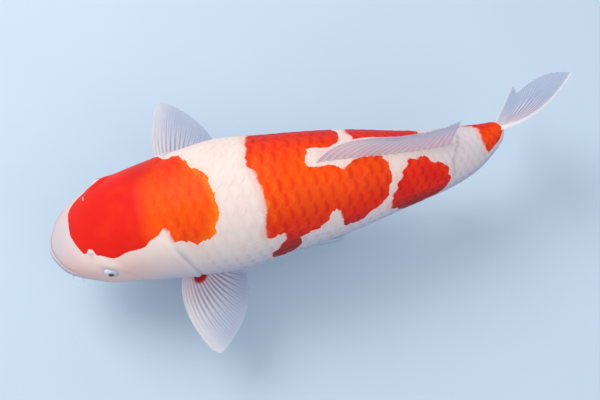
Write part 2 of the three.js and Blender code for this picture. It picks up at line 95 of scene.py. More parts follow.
# Outlines of the red patches, as (percent of the body's length, angle from the back).
PATCHES = {
    "head": [
        (6.2, -30), (6.2, 0), (6.6, 10), (7.3, 20), (8.7, 32), (9.4, 31), (10, 27), (10.8, 29),
        (11.4, 36), (12.6, 39), (15.3, 45), (18, 41), (21.6, 39), (23, 34), (24.8, 31), (26.6, 24),
        (27.8, 38), (29.2, 40), (30.5, 43), (32.3, 48), (34.4, 43), (36, 40), (36.1, 34), (37.4, 22),
        (37.6, 12), (37.4, 4), (36.2, -9), (33.6, -19), (32.7, -28), (31.4, -40), (28.5, -42), (26, -58),
        (20, -76), (15.5, -66), (13.5, -57), (10.5, -54), (8, -48)
    ],
    "back": [
        (46, -58), (44.8, -27), (44.7, -20), (44.3, -10), (45.2, -3), (45.9, 4), (46.1, 12), (46.5, 17),
        (46.6, 36), (45.7, 48), (45.8, 60), (48, 62), (49.4, 61), (48.8, 74), (46.7, 86), (46.5, 97),
        (50.5, 98), (52.8, 84), (52.4, 73), (54.8, 69), (56.6, 68), (59.2, 55), (60.5, 47), (61.3, 55),
        (61.8, 70), (62.4, 77), (66, 76), (67.4, 69), (70, 60), (71.4, 54), (72.2, 35), (72.6, 14),
        (71.7, 1), (67.2, -1), (64, 3), (62.7, 9), (61.3, 2), (57.2, 1), (55.9, -2), (57, -15),
        (61.5, -15), (63.4, -28), (63.6, -46), (60, -72), (52, -72), (48.5, -58)
    ],
    "far": [
        (65.8, -50), (66.7, -26), (70, -23), (72.8, -25), (76, -23), (77, -29), (79, -31), (81, -40),
        (79, -66), (74, -76), (68, -74)
    ],
    "flank": [
        (72.2, 80), (72.2, 63), (73.7, 39), (75.4, 22), (76.5, 12), (77.8, 9), (78.5, 12), (79.4, 7),
        (80.7, 12), (81.2, 19), (82.5, 21), (84.5, 33), (84.8, 42), (84.5, 50), (84.8, 58), (84, 77),
        (82, 92), (78, 98), (75, 96), (73.6, 84)
    ],
    "tail": [
        (91.6, -54), (93.9, -28), (93.5, 3), (93.6, 30), (94, 54), (94.8, 56), (97.6, 48), (98.8, 26),
        (98.7, -4), (98, -58), (95, -72)
    ],
}

# Fans of the fins in millimetres, first ray to last, as in the solids but for the pectoral fins' rounder
# tips.
PECTORAL = {
    "hub": (176, 62, -59), "root_front": (164, 55), "root_rear": (190, 49),
    "ray": (0, 0.13, 0.25, 0.5, 0.75, 1), "angle": (3, 7.5, 12, 27, 48, 76),
    "reach": (107, 113.5, 110, 96, 81, 66), "start": (-28, -20, -12, 8, 26, 50),
    "left": {"lift": 4, "sweep": 0, "spread": 1}, "right": {"lift": 14, "sweep": -10, "spread": 0.92},
}
DORSAL = {
    "first": 0.572, "last": 0.862, "sunk": 6, "ray": (0, 0.25, 0.5, 0.75, 1),
    "tip": ((82, 13, 9), (67, 12, 10), (53, 14, 13), (36, 16, 17), (20, 19, 21)),
    "bow": ((26, 23, 17), (26, 12, 12), (24, 8, 10), (16, 8, 12), (9, 9, 14)),
}
CAUDAL = {
    "root": 0.98, "sunk_half_height": 26, "root_height": 1, "ray": (-1, -0.5, 0, 0.5, 1),
    "heading": (55, 53, 50, 33, 19), "reach": (105, 86, 65, 87, 87), "height": (-66, -38, 0, 47, 82),
    "start": (52, 42, 30, 8, -18),
}
PELVIC = {
    "first": 0.495, "last": 0.52, "outer_angle": 155, "inner_angle": 167, "ray": (0, 0.5, 1),
    "tip": ((78, 8, 17), (66, 5, 17), (44, 0, 12)),
}
ANAL = {
    "first": 0.775, "last": 0.835, "sunk": 5, "ray": (0, 0.5, 1),
    "tip": ((52, 8, 40), (44, 8, 30), (30, 7, 16)),
}
BARBELS = {
    "lip": {"at": 0.036, "angle": 96, "radius": 1.4, "out": 9, "aft": 0, "down": 13},
    "corner": {"at": 0.06, "angle": 104, "radius": 1.8, "out": 9, "aft": -11, "down": 15},
}

FIN_LOOK = {  # what a fin has unless its own entry says otherwise
    "points": 12,  # points across each ray
    "steps": 34,  # points along each ray
    "breadth": 0.2,  # of a ray, in spacings
    "fork": 0.42,  # where the rays start to part in two
    "fade": 0.45,  # where the rays start to fade into the web
    "notch": 0.012,  # depth to which the margin is cut back between the rays
    "ragged": 0.01,  # unevenness of the margin
    "pleat": 0.0,  # height of the pleats, in millimetres
    "lead": 0.0,  # further half thickness of the first ray, in millimetres
    "lead_width": 0.06,  # breadth of the first ray, in fins
    "lead_at": 0,  # 1 where the last ray leads
    "even": 0.0,  # how far the web looks like the rays
    "thin": 0.0,  # how clear the web is at the root
    "pink": 0.0,  # strength of the flush
    "flush_end": 0.6,  # where the flush ends
}
FIN_LOOKS = {
    "pectoral": {"rays": 15, "steps": 52, "breadth": 0.35, "notch": 0.004, "ragged": 0.002, "lead": 0.5,
                 "lead_width": 0.05, "pink": 0.3},
    "pelvic": {"rays": 9, "points": 10, "lead": 0.3},
    "dorsal": {"rays": 20, "steps": 46, "notch": 0.05, "ragged": 0.02, "pleat": 0.3, "lead": 0.6,
               "lead_width": 0.03, "even": 0.4, "thin": 0.6, "pink": 0.6, "flush_end": 1.3},
    "caudal": {"rays": 10, "points": 14, "steps": 60, "fork": 0.3, "fade": 0.2, "notch": 0.004,
               "ragged": 0.003, "lead": 0.7, "lead_width": 0.05, "pink": 0.12},
    "anal": {"rays": 8, "points": 10, "lead": 0.5},
}
SIDES = {"left": -1, "right": 1}
FLESH = ("head", "jaw", "gill_cover_left", "gill_cover_right", "trunk_front", "trunk_rear", "tail_stalk")


def linear(hex_colour):
    """An sRGB hex colour as linear red, green and blue."""
    parts = [int(hex_colour[i:i + 2], 16) / 255 for i in (1, 3, 5)]
    return tuple(c / 12.92 if c <= 0.04045 else ((c + 0.055) / 1.055) ** 2.4 for c in parts)


# Colours of small details: gold, a pale rim that is partly a painted highlight, a red spot and the painted
# shade of creases; and the filters of the bar across each scale on each ground, a painted shadow of the scale
# before.
GOLD, PALE_RIM_AND_HIGHLIGHT, SPOT, CREASE_SHADE = (linear(tone) for tone in ("#ff7c07", "#ff7c1d", "#c2141a", "#6f595d"))
SHADOW_BAR_ON_RED, SHADOW_BAR_ON_ORANGE, SHADOW_BAR_ON_CREAM, SHADOW_BAR_ON_SHADE = (
    linear(tone) for tone in ("#debccb", "#f5b8cb", "#f9f6f6", "#eae6eb"))

COLOUR = {"data_type": "RGBA", "output": 2}  # makes a Mix node blend colours
SMOOTH = {"interpolation_type": "SMOOTHSTEP"}

# ---- Settings -----------------------------------------------------------------------------------


def colour_property(name, description, hex_colour):
    return FloatVectorProperty(name=name, description=description, subtype="COLOR", size=3, min=0, max=1,
                               default=linear(hex_colour))


def length_property(name, description, metres):
    return FloatProperty(name=name, description=description, default=metres, unit="LENGTH")


def angle_property(name, description, degrees):
    return FloatProperty(name=name, description=description, default=np.radians(degrees), subtype="ANGLE")


class KoiBodySettings(bpy.types.PropertyGroup):
    length: length_property("Length", "Snout to the end of the scaled body, along the spine", 0.6)
    bend: angle_property("Tail bend", "Turn of the tail sweep", 44)
    height: length_property("Height", "Middle of the trunk above the floor", 0.148)
    base_centre: length_property("Base centre", "Middle of the stand's base, back from the snout", 0.264)
    coat_depth: length_property("Coat depth", "How far the skin dips where scales cover it", 0.0011)
    rings: IntProperty(name="Skin rings", description="Rings of the skin from snout to tail", default=372)
    around: IntProperty(name="Skin sides", description="Points round each ring", default=256)


class KoiScaleSettings(bpy.types.PropertyGroup):
    pitch: length_property("Pitch", "Distance from scale to scale along a row, on the trunk", 0.0145)
    row: length_property("Row spacing", "Distance from row to row on the trunk", 0.019)
    thickness: length_property("Thickness", "Thickness of a scale", 0.00024)
    lift: length_property("Lift", "Height of a scale's free edge above the skin", 0.00058)
    seed: IntProperty(name="Seed", description="Seed of the small differences from scale to scale", default=4)


class KoiEyeSettings(bpy.types.PropertyGroup):
    radius: length_property("Eyeball radius", "Radius of the eyeball", 0.0085)
    pupil: angle_property("Pupil", "Half angle of the pupil seen from the eyeball's middle", 24)
    iris: angle_property("Iris", "Half angle of the iris", 57)


class KoiFinSettings(bpy.types.PropertyGroup):
    root: length_property("Root thickness", "Half thickness of a fin at its root", 0.0016)
    margin: length_property("Margin thickness", "Half thickness of a ray at the margin", 0.00045)
    web: FloatProperty(name="Web opacity", description="Opacity of the web between the rays", default=0.62,
                       subtype="FACTOR", min=0, max=1)


class KoiColourSettings(bpy.types.PropertyGroup):
    red: colour_property("Red", "Red of the head and the far side", "#e91f13")
    orange: colour_property("Orange", "Orange of the shoulder and back", "#fb5208")
    # painted shade, in part: this deep red is partly the red's own depth and partly painted shade low on the
    # flanks, on the far side and in a fold of the nape
    crimson_and_shade: colour_property("Crimson", "Deep red low on the flanks", "#8c0a10")
    cream: colour_property("Cream", "White of the back", "#f3ddd3")
    # painted shade: a cool grey that stands in for the shade and blue water light low on the flanks and
    # belly, and greys the snout and the tail
    shade: colour_property("Cool white", "White of the lower flanks and belly", "#b3b4c7")
    blush: colour_property("Blush", "Pink of the cheeks and of red under white scales", "#efb3a4")
    ray: colour_property("Fin ray", "Rays of the fins", "#f2e6e4")
    # painted light: the pale blue of the web by the margin is the blue of water light seen through the fin
    web: colour_property("Fin web", "Web between the rays by the margin", "#86a3c8")
    flush: colour_property("Fin flush", "Blood that shows through the fins' roots", "#dc9cb6")
    gap: colour_property("Fin web root", "Web between the rays near the root", "#8d7c9c")
    iris: colour_property("Iris", "Silver of the iris", "#c9d6df")
    lacquer: colour_property("Lacquer", "Pale lacquer of the stand's base", "#b4c2d0")
    steel: colour_property("Steel", "Brushed steel of the stand's rods", "#b9bcc0")
    floor: colour_property("Floor", "Pale studio floor", "#c3d3e2")


class KoiStageSettings(bpy.types.PropertyGroup):
    azimuth: angle_property("Azimuth", "Camera's turn round the fish", -11.7)
    elevation: angle_property("Elevation", "Camera's height angle", 72)
    distance: length_property("Distance", "Camera to target", 1.052)
    target: FloatVectorProperty(name="Target", description="Point the camera looks at",
                                default=(0.061, -0.013, 0.148), subtype="TRANSLATION")
    lens: FloatProperty(name="Lens", description="Focal length in millimetres", default=50)
    key: FloatProperty(name="Key light", description="Power of the key light in watts", default=21)
    fill: FloatProperty(name="Fill light", description="Power of the fill light in watts", default=6.5)


SETTINGS = {
    "koi_body": KoiBodySettings, "koi_scales": KoiScaleSettings, "koi_eyes": KoiEyeSettings,
    "koi_fins": KoiFinSettings, "koi_colours": KoiColourSettings, "koi_stage": KoiStageSettings,
}

# ---- Curves -------------------------------------------------------------------------------------


def through(knots, values, at):
    """Monotone cubic through the knots: each inner slope is the weighted harmonic mean of its two spans'
    slopes, and nought where they differ in sign; each end takes its own span's slope."""
    knots, values = np.asarray(knots, float), np.asarray(values, float)
    step = np.diff(knots)
    slope = np.diff(values) / step
    tangent = np.zeros_like(values)
    tangent[0], tangent[-1] = slope[0], slope[-1]
    before, after = 2 * step[1:] + step[:-1], step[1:] + 2 * step[:-1]
    same = slope[:-1] * slope[1:] > 0
    first, second = np.where(same, slope[:-1], 1), np.where(same, slope[1:], 1)
    tangent[1:-1] = np.where(same, (before + after) / (before / first + after / second), 0)
    i = np.clip(np.searchsorted(knots, at) - 1, 0, len(step) - 1)
    s = (at - knots[i]) / step[i]
    r = 1 - s
    return (values[i] * (1 + 2 * s) * r * r + step[i] * tangent[i] * s * r * r
            + values[i + 1] * s * s * (3 - 2 * s) - step[i] * tangent[i + 1] * s * s * r)


def smoothstep(low, high, value):
    """0 below low, 1 above high, and 3t^2 - 2t^3 between."""
    t = np.clip((value - low) / (high - low), 0, 1)
    return t * t * (3 - 2 * t)


def plateau(low, full, until, high, value):
    """0 below low, 1 from full to until, 0 above high, and a smooth step up and down between."""
    return smoothstep(low, full, value) * (1 - smoothstep(until, high, value))


def bell(distance, width):
    """Gaussian bump: 1 at no distance, 1/e at one width."""
    return np.exp(-(distance / width) ** 2)


def unit(vectors):
    return vectors / np.maximum(np.linalg.norm(vectors, axis=-1, keepdims=True), 1e-12)


def ripple(u, v, seed):
    """Gentle unevenness between -1 and 1: the mean of five sine waves of differing heading, length and
    phase."""
    rng = np.random.default_rng(seed)
    total = 0
    for turn, wave, phase in zip(rng.uniform(0, np.pi, 5), rng.uniform(0.6, 1.6, 5), rng.uniform(0, 6.3, 5)):
        total = total + np.sin(wave * (u * np.cos(turn) + v * np.sin(turn)) + phase)
    return total / 5


class KoiShape:
    """The bare body as functions of place and angle."""

    def __init__(self, settings):
        self.length = settings.length
        self.along = np.linspace(0, 1.3, 5201)
        turn = settings.bend * smoothstep(BEND_FROM, BEND_TO, self.along)
        self.turn = turn
        step = np.stack([np.cos(turn), np.sin(turn)]) * self.length
        middle = (step[:, 1:] + step[:, :-1]) / 2 * np.diff(self.along)
        self.x = np.concatenate([[0], np.cumsum(middle[0])]) - settings.base_centre
        self.y = np.concatenate([[0], np.cumsum(middle[1])])
        self.z = settings.height
        # arc lengths round the half section from back to belly, for quick changes between angle and distance
        self.rows = np.linspace(0.0005, 1, 401)
        angles, shares = np.linspace(0, 180, 361), np.linspace(0, 1, 361)
        ring = self.point(self.rows[:, None], angles[None, :])
        sides = np.linalg.norm(np.diff(ring, axis=1), axis=-1)
        self.arcs = np.concatenate([np.zeros((len(self.rows), 1)), np.cumsum(sides, 1)], 1)
        self.half_girth = self.arcs[:, -1]
        self.angles_by_share = np.stack([np.interp(shares * arc[-1], arc, angles) for arc in self.arcs])

    def frame(self, at):
        """Spine point and the directions aft and right: the spine is the running sum of its heading."""
        x, y, turn = (np.interp(at, self.along, values) for values in (self.x, self.y, self.turn))
        level = np.zeros_like(turn)
        aft, right = [np.cos(turn), np.sin(turn), level], [-np.sin(turn), np.cos(turn), level]
        return np.stack([x, y, level + self.z], -1), np.stack(aft, -1), np.stack(right, -1)

    def point(self, at, angle, grow=0.0):
        """Section at a place: a superellipse split at its widest level, with its own rise above and below
        it."""
        at, angle = np.broadcast_arrays(np.asarray(at, float), np.asarray(angle, float))
        key = np.sqrt(np.clip(at, 0, 1))
        knots = np.sqrt(SECTIONS[:, 0])
        half, back, belly, widest = (through(knots, SECTIONS[:, i] * self.length, key) for i in range(1, 5))
        power = 2 / through(knots, SECTIONS[:, 5], key)
        sine, cosine = np.sin(np.radians(angle)), np.cos(np.radians(angle))
        sideways = np.sign(sine) * np.abs(sine) ** power
        upward = np.sign(cosine) * np.abs(cosine) ** power
        rise = np.where(upward > 0, back + grow - widest, widest - belly + grow)
        place, _, right = self.frame(at)
        out = place - right * ((half + grow) * sideways)[..., None]
        out[..., 2] += widest + rise * upward
        return out

    def normal(self, at, angle):
        """Outward direction: the cross product of the surface's two slopes, taken over a small step each
        way."""
        at, angle = np.broadcast_arrays(np.asarray(at, float), np.asarray(angle, float))
        d_at, d_angle = 4e-4, 0.4
        low, high = np.clip(at - d_at, 2e-4, 1), np.clip(at + d_at, 2e-4, 1)
        aft = self.point(high, angle) - self.point(low, angle)
        round_body = self.point(at, angle + d_angle) - self.point(at, angle - d_angle)
        return unit(np.cross(round_body, aft))

    def lookup(self, table, at, share):
        """Value of a table of rows by place and columns by share, blended between its nearest four
        entries."""
        row = np.clip((at - self.rows[0]) / (self.rows[-1] - self.rows[0]), 0, 1) * (len(table) - 1.001)
        column = np.clip(share, 0, 1) * (table.shape[1] - 1.001)
        i, j = row.astype(int), column.astype(int)
        s, t = row - i, column - j
        return ((table[i, j] * (1 - t) + table[i, j + 1] * t) * (1 - s)
                + (table[i + 1, j] * (1 - t) + table[i + 1, j + 1] * t) * s)

    def girth_arc(self, at, angle):
        """Distance round the body from the back's midline, negative on the right."""
        at, angle = np.broadcast_arrays(np.asarray(at, float), np.asarray(angle, float))
        return np.sign(angle) * self.lookup(self.arcs, at, np.abs(angle) / 180)

    def angle_of(self, at, arc):
        """Angle at a distance round the body from the back's midline."""
        share = np.abs(arc) / np.interp(at, self.rows, self.half_girth)
        return np.sign(arc) * self.lookup(self.angles_by_share, at, share)


def scale_start(angle):
    """Place where the scales begin at an angle: behind the skull on top and behind the gill cover at the
    sides."""
    return np.interp(np.abs(angle), SCALE_LINE[:, 0], SCALE_LINE[:, 1])


def eye_place(shape, side):
    """Middle of an eyeball, and the direction it looks in: out, a little forward and a little up."""
    place, aft, right = (row[0] for row in shape.frame(np.array([EYE["at"]])))
    middle = place + right * side * EYE["side"] * MM + np.array([0, 0, EYE["up"] * MM])
    return middle, unit(right * side - aft * 0.1 + np.array([0, 0, 0.3]))


# ---- Markings -----------------------------------------------------------------------------------


def patch_outline(shape, corners):
    """Closed curve through the corners of a patch on the unrolled skin: a Catmull-Rom spline, each span cut
    in six."""
    corners = np.array(corners, float)
    at = corners[:, 0] / 100
    flat = np.stack([at * shape.length, shape.girth_arc(at, corners[:, 1])], -1)
    before, after, beyond = np.roll(flat, 1, 0), np.roll(flat, -1, 0), np.roll(flat, -2, 0)
    t = np.arange(6)[None, :, None] / 6
    curve = 0.5 * (2 * flat[:, None] + (after - before)[:, None] * t
                   + (2 * before - 5 * flat + 4 * after - beyond)[:, None] * t ** 2
                   + (3 * flat - before - 3 * after + beyond)[:, None] * t ** 3)
    return curve.reshape(-1, 2)


def depth_inside(outline, u, v):
    """Distance from each point to the nearest side of a closed outline, positive where an odd number of sides
    crosses the ray from the point."""
    near = np.full(u.shape, 1e9)
    inside = np.zeros(u.shape, bool)
    for (ax, ay), (bx, by) in zip(outline, np.roll(outline, -1, 0)):
        dx, dy = bx - ax, by - ay
        t = np.clip(((u - ax) * dx + (v - ay) * dy) / max(dx * dx + dy * dy, 1e-18), 0, 1)
        near = np.minimum(near, (u - ax - t * dx) ** 2 + (v - ay - t * dy) ** 2)
        if ay != by:
            inside ^= ((ay > v) != (by > v)) & (u < ax + (v - ay) * dx / dy)
    return np.where(inside, 1, -1) * np.sqrt(near)


def red_depth(shape, at, angle):
    """Millimetres inside the nearest red patch, negative on the white. The edges wander by a millimetre or
    so."""
    u, v = at * shape.length, shape.girth_arc(at, angle)
    wander = ripple(u / 0.006, v / 0.006, 3) * 0.0009
    depth = np.max([depth_inside(patch_outline(shape, corners), u, v) for corners in PATCHES.values()], 0)
    return (depth + wander) / MM


def marking_layers(shape, at, angle):
    """Colour layers at points of the body, shared by skin and scales.

    red: millimetres inside a patch; soft: how blurred its edge is, more where it faces the head; front: how
    far it faces the head; orange and gold: how far the red leans to each; the crimson layer: how far it leans
    to deep red, partly the red's own depth and partly painted shade low on the flanks, on the far side and in
    a fold of the nape; shade: painted shade and painted blue water light low on the flanks, and a greyer
    white on the snout and by the tail; blush: pink in the white; the crease layer: painted shade in the fold
    behind the dorsal fin."""
    left, off_back = np.asarray(angle, float), np.abs(angle)
    depth = red_depth(shape, at, angle)
    ahead = red_depth(shape, np.clip(at + 0.006, 0, 1), angle)
    scaled = smoothstep(0, 0.012, at - scale_start(angle))
    front = smoothstep(0.2, 1, (ahead - depth) / 3.6) * scaled

    shoulder = plateau(0.205, 0.25, 0.4, 0.43, at) * bell(left - 12, 48)
    midriff = smoothstep(0.42, 0.44, at) * bell(left - 12, 38) * (1 - 0.4 * smoothstep(0.56, 0.72, at))
    midriff = midriff * (1 - 0.75 * plateau(0.71, 0.74, 0.88, 0.92, at))
    # painted shade, in part: the red deepens low on the flanks, on the far side and in a fold of the nape
    # behind the eye
    low = smoothstep(56, 90, left) * smoothstep(0.4, 0.45, at)
    far = smoothstep(-22, -60, left) * smoothstep(0.4, 0.45, at)
    nape_fold_shade = bell(at - 0.235, 0.03) * bell(left + 42, 22)
    shoulder_edge = plateau(0.29, 0.37, 0.4, 0.43, at) * (1 - smoothstep(1, 13, depth)) * (1 - front)

    # painted shade and painted blue water light low on the flanks; a greyer white by the tail and on the
    # snout
    flank, rear = smoothstep(48, 108, off_back), smoothstep(0.72, 0.9, at)
    snout = 1 - smoothstep(0.02, 0.1, at)
    cheek = bell(at - 0.14, 0.09) * bell(off_back - 72, 26)
    lips = bell(at - 0.05, 0.03) * bell(off_back - 60, 40)
    glow = bell(depth + 2.2, 2.8) * (0.3 + 0.7 * front) * scaled
    # painted shade in the fold behind the dorsal fin
    behind_dorsal = 0.857 + 0.032 * smoothstep(40, -22, left)
    fold = bell(at - behind_dorsal, 0.004) * plateau(-30, -18, 50, 64, left)
    shares = {
        "front": front, "orange": shoulder + midriff, "crimson_and_shade": 0.95 * low + 0.35 * far + 0.3 * nape_fold_shade,
        "gold": 0.8 * shoulder_edge, "shade": flank + 0.45 * rear + 0.55 * snout,
        "blush": 0.6 * cheek + 0.35 * lips + 0.5 * glow, "crease_shade": 0.3 * fold,
    }
    shares = {key: np.clip(value, 0, 1) for key, value in shares.items()}
    return {"red": depth, "soft": 0.4 + 1.5 * front, **shares}


# ---- Meshes -------------------------------------------------------------------------------------


def mesh_piece(name, points, faces, layers=None, sharp_angle=None):
    """New object at the origin from points and faces, with each layer kept as a number at every point."""
    mesh = bpy.data.meshes.new(name)
    mesh.from_pydata(points.tolist(), [], faces)
    corners = np.zeros(len(mesh.loops), int)
    mesh.loops.foreach_get("vertex_index", corners)
    starts = np.zeros(len(mesh.polygons), int)
    mesh.polygons.foreach_get("loop_start", starts)
    a, b, c = (points[corners[starts + k]] for k in range(3))
    if np.sum(a * np.cross(b, c)) < 0:
        mesh.flip_normals()
    for layer, values in (layers or {}).items():
        values = np.asarray(values, np.float32).ravel()
        mesh.attributes.new(layer, "FLOAT", "POINT").data.foreach_set("value", values)
    mesh.shade_smooth()
    if sharp_angle is not None:
        mesh.set_sharp_from_angle(angle=np.radians(sharp_angle))
    mesh.update()
    piece = bpy.data.objects.new(name, mesh)
    bpy.context.scene.collection.objects.link(piece)
    return piece


def grid_quads(rows, columns, rows_join=False, columns_join=False):
    """Quads of a grid of points numbered row by row. Either way of the grid may join up with its own
    start."""
    i, j = np.meshgrid(np.arange(rows - 1 + rows_join), np.arange(columns - 1 + columns_join), indexing="ij")
    k, m = (i + 1) % rows, (j + 1) % columns
    return np.stack([i * columns + j, k * columns + j, k * columns + m, i * columns + m], -1).reshape(-1, 4)


def ring_faces(rings, sides):
    """Quads between round rings of points, and a fan of triangles onto each end's pole, numbered after the
    rings."""
    j = np.arange(sides)
    k, pole, last = (j + 1) % sides, rings * sides, (rings - 1) * sides
    fans = np.stack([0 * j + pole, j, k], -1), np.stack([0 * j + pole + 1, last + k, last + j], -1)
    return grid_quads(rings, sides, columns_join=True).tolist() + np.concatenate(fans).tolist()


def circle(sides):
    """Angles of evenly spaced points round a circle."""
    return np.linspace(0, 2 * np.pi, sides, endpoint=False)


def add_node(tree, kind, inputs=None, output=0, **settings):
    """Adds a shader node and returns one of its outputs. Inputs gives, for each socket's name or number, a
    value or another node's output, and a colour may be given without its alpha."""
    node = tree.nodes.new("ShaderNode" + kind)
    for name, value in settings.items():
        setattr(node, name, value)
    for name, value in (inputs or {}).items():
        socket = node.inputs[name]
        if isinstance(value, bpy.types.NodeSocket):
            tree.links.new(value, socket)
        else:
            socket.default_value = (*value, 1.0)[:4] if socket.type == "RGBA" else value
    return node.outputs[output] if node.outputs else None


def new_material(name):
    """An empty node material, and the function that adds a node to it."""
    material = bpy.data.materials.new(name)
    material.use_nodes = True
    material.node_tree.nodes.clear()
    return material, partial(add_node, material.node_tree)


def mottled_material(name, pair, scale, detail, stretch=(1.0, 1.0, 1.0), rough=None, bump=None, shader=()):
    """Material whose pair of colours blends by noise. The noise may be drawn out along an axis, run the
    roughness between two values, and raise the surface by a strength and a height."""
    material, node = new_material(name)
    coords = node("Mapping", {"Vector": node("TexCoord", output="Object"), "Scale": stretch})
    noise = node("TexNoise", {"Vector": coords, "Scale": scale, "Detail": detail})
    inputs = {"Base Color": node("Mix", {0: noise, 6: pair[0], 7: pair[1]}, **COLOUR), **dict(shader)}
    if rough:
        inputs["Roughness"] = node("MapRange", {"Value": noise, "To Min": rough[0], "To Max": rough[1]})
    if bump:
        inputs["Normal"] = node("Bump", {"Height": noise, "Strength": bump[0], "Distance": bump[1]})
    node("OutputMaterial", {"Surface": node("BsdfPrincipled", inputs)})
    return material


def finish(piece, material, slot, *nodes):
    """Gives a piece its material and its body, and hides the solids that it stands for. Its slot is not used.
    """
    piece.data.materials.clear()
    piece.data.materials.append(material)
    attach(piece, "root")
    if nodes:
        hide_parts(*nodes)


# ---- Skin and scales ----------------------------------------------------------------------------


def koi_hide_material(name, colours, scaled):
    """Koi hide: thin mucus-wet skin over pigment. Red pigment lies in patches on white; the wet skin gives
    broad soft lights, and light scatters a little way under it, so the white looks warm. A darker bar lies
    across each scale where it comes out from under the one before, a painted shadow of that scale, and its
    free rim is paler on orange, partly a pale margin and partly a painted highlight on the raised edge.
    Painted shade also darkens the creases, greys the white low on the flanks and deepens the red there."""
    material, node = new_material(name)
    keys = ("red", "soft", "orange", "crimson_and_shade", "gold", "shade", "blush", "crease_shade")
    if scaled:
        keys += ("open", "side", "young", "rim", "tint")
    layer = {key: node("Attribute", output="Fac", attribute_name=key) for key in keys}
    coords = node("TexCoord", output="Object")
    # pigment grain about 1.5 mm across, and clouds about 25 mm across
    grain = node("TexNoise", {"Vector": coords, "Scale": 650.0, "Detail": 3.0})
    clouds = node("TexNoise", {"Vector": coords, "Scale": 38.0, "Detail": 2.0})
    # a patch's edge wanders by up to 0.9 mm with the grain, and blurs over its soft layer's width each way
    wander = node("MapRange", {"Value": grain, "To Min": -0.9, "To Max": 0.9})
    edge = node("Math", {0: layer["red"], 1: wander}, operation="ADD")
    minus_soft = node("Math", {0: layer["soft"], 1: -1.0}, operation="MULTIPLY")
    mask = node("MapRange", {"Value": edge, "From Min": minus_soft, "From Max": layer["soft"]}, **SMOOTH)

    clouds_in = {"Value": clouds, "From Min": 0.3, "From Max": 0.7}
    warm = node("MapRange", {**clouds_in, "To Min": -0.14, "To Max": 0.14})
    warmth = node("Math", {0: layer["orange"], 1: warm}, operation="ADD", use_clamp=True)
    red = node("Mix", {0: warmth, 6: colours.red, 7: colours.orange}, **COLOUR)
    # painted shade, in part: the red deepens towards crimson where its layer says
    red = node("Mix", {0: layer["crimson_and_shade"], 6: red, 7: colours.crimson_and_shade}, **COLOUR)
    red = node("Mix", {0: layer["gold"], 6: red, 7: GOLD}, **COLOUR)
    pink = node("MapRange", {"Value": clouds, "From Min": 0.35, "From Max": 0.75, "To Max": 0.16})
    pink = node("Math", {0: layer["blush"], 1: pink}, operation="ADD", use_clamp=True)
    # painted shade: the white turns to the cool grey of the shade colour low on the flanks, by the tail and
    # on the snout
    white = node("Mix", {0: layer["shade"], 6: colours.cream, 7: colours.shade}, **COLOUR)
    white = node("Mix", {0: pink, 6: white, 7: colours.blush}, **COLOUR)
    if scaled:
        # the painted shadow across each scale has its middle 0.3 of the way along the open part, bowed
        # forward at the sides, where it fades
        side_squared = node("Math", {0: layer["side"], 1: layer["side"]}, operation="MULTIPLY")
        bowed = node("Math", {0: side_squared, 1: 0.16, 2: layer["open"]}, operation="MULTIPLY_ADD")
        off = node("Math", {0: node("Math", {0: bowed, 1: 0.3}, operation="SUBTRACT")}, operation="ABSOLUTE")
        along = node("MapRange", {"Value": off, "From Min": 0.3, "From Max": 0.02}, **SMOOTH)
        across = node("MapRange", {"Value": side_squared, "From Min": 0.95, "From Max": 0.2}, **SMOOTH)
        shadow_bar = node("Math", {0: along, 1: across}, operation="MULTIPLY")
        shadow_bar = node("Math", {0: shadow_bar, 1: layer["young"]}, operation="MULTIPLY")
        # the pale free rim is partly the scale's pale margin and partly a painted highlight on its raised
        # edge
        free = node("MapRange", {"Value": layer["open"], "From Min": 0.6, "From Max": 0.95}, **SMOOTH)
        rim = node("Math", {0: free, 1: layer["rim"]}, operation="MULTIPLY")
        bright = node("MapRange", {"Value": layer["tint"], "To Min": 0.97, "To Max": 1.09})
        # the painted shadow takes more light from red than from orange, and more from the painted shade's
        # grey white than from cream
        shadow_filter = node("Mix", {0: layer["orange"], 6: SHADOW_BAR_ON_RED, 7: SHADOW_BAR_ON_ORANGE}, **COLOUR)
        red = node("Mix", {0: shadow_bar, 6: red, 7: shadow_filter}, blend_type="MULTIPLY", **COLOUR)
        red = node("Mix", {0: rim, 6: red, 7: PALE_RIM_AND_HIGHLIGHT}, **COLOUR)
        red = node("HueSaturation", {"Color": red, "Value": bright})
        shadow_filter = node("Mix", {0: layer["shade"], 6: SHADOW_BAR_ON_CREAM, 7: SHADOW_BAR_ON_SHADE}, **COLOUR)
        white = node("Mix", {0: shadow_bar, 6: white, 7: shadow_filter}, blend_type="MULTIPLY", **COLOUR)
    base = node("Mix", {0: mask, 6: white, 7: red}, **COLOUR)
    # painted shade in creases, pits, pores and folds
    base = node("Mix", {0: layer["crease_shade"], 6: base, 7: CREASE_SHADE}, **COLOUR)
    rough = node("MapRange", {**clouds_in, "To Min": 0.42, "To Max": 0.54})
    bump = node("Bump", {"Height": grain, "Strength": 0.12, "Distance": 0.0003})
    shader = node("BsdfPrincipled", {
        "Base Color": base, "Roughness": rough, "Normal": bump, "IOR": 1.36, "Specular IOR Level": 0.16,
        "Subsurface Weight": 0.06, "Subsurface Radius": (1.0, 0.45, 0.3), "Subsurface Scale": 0.003,
        "Coat Weight": 0.03, "Coat Roughness": 0.3})
    node("OutputMaterial", {"Surface": shader})
    return material


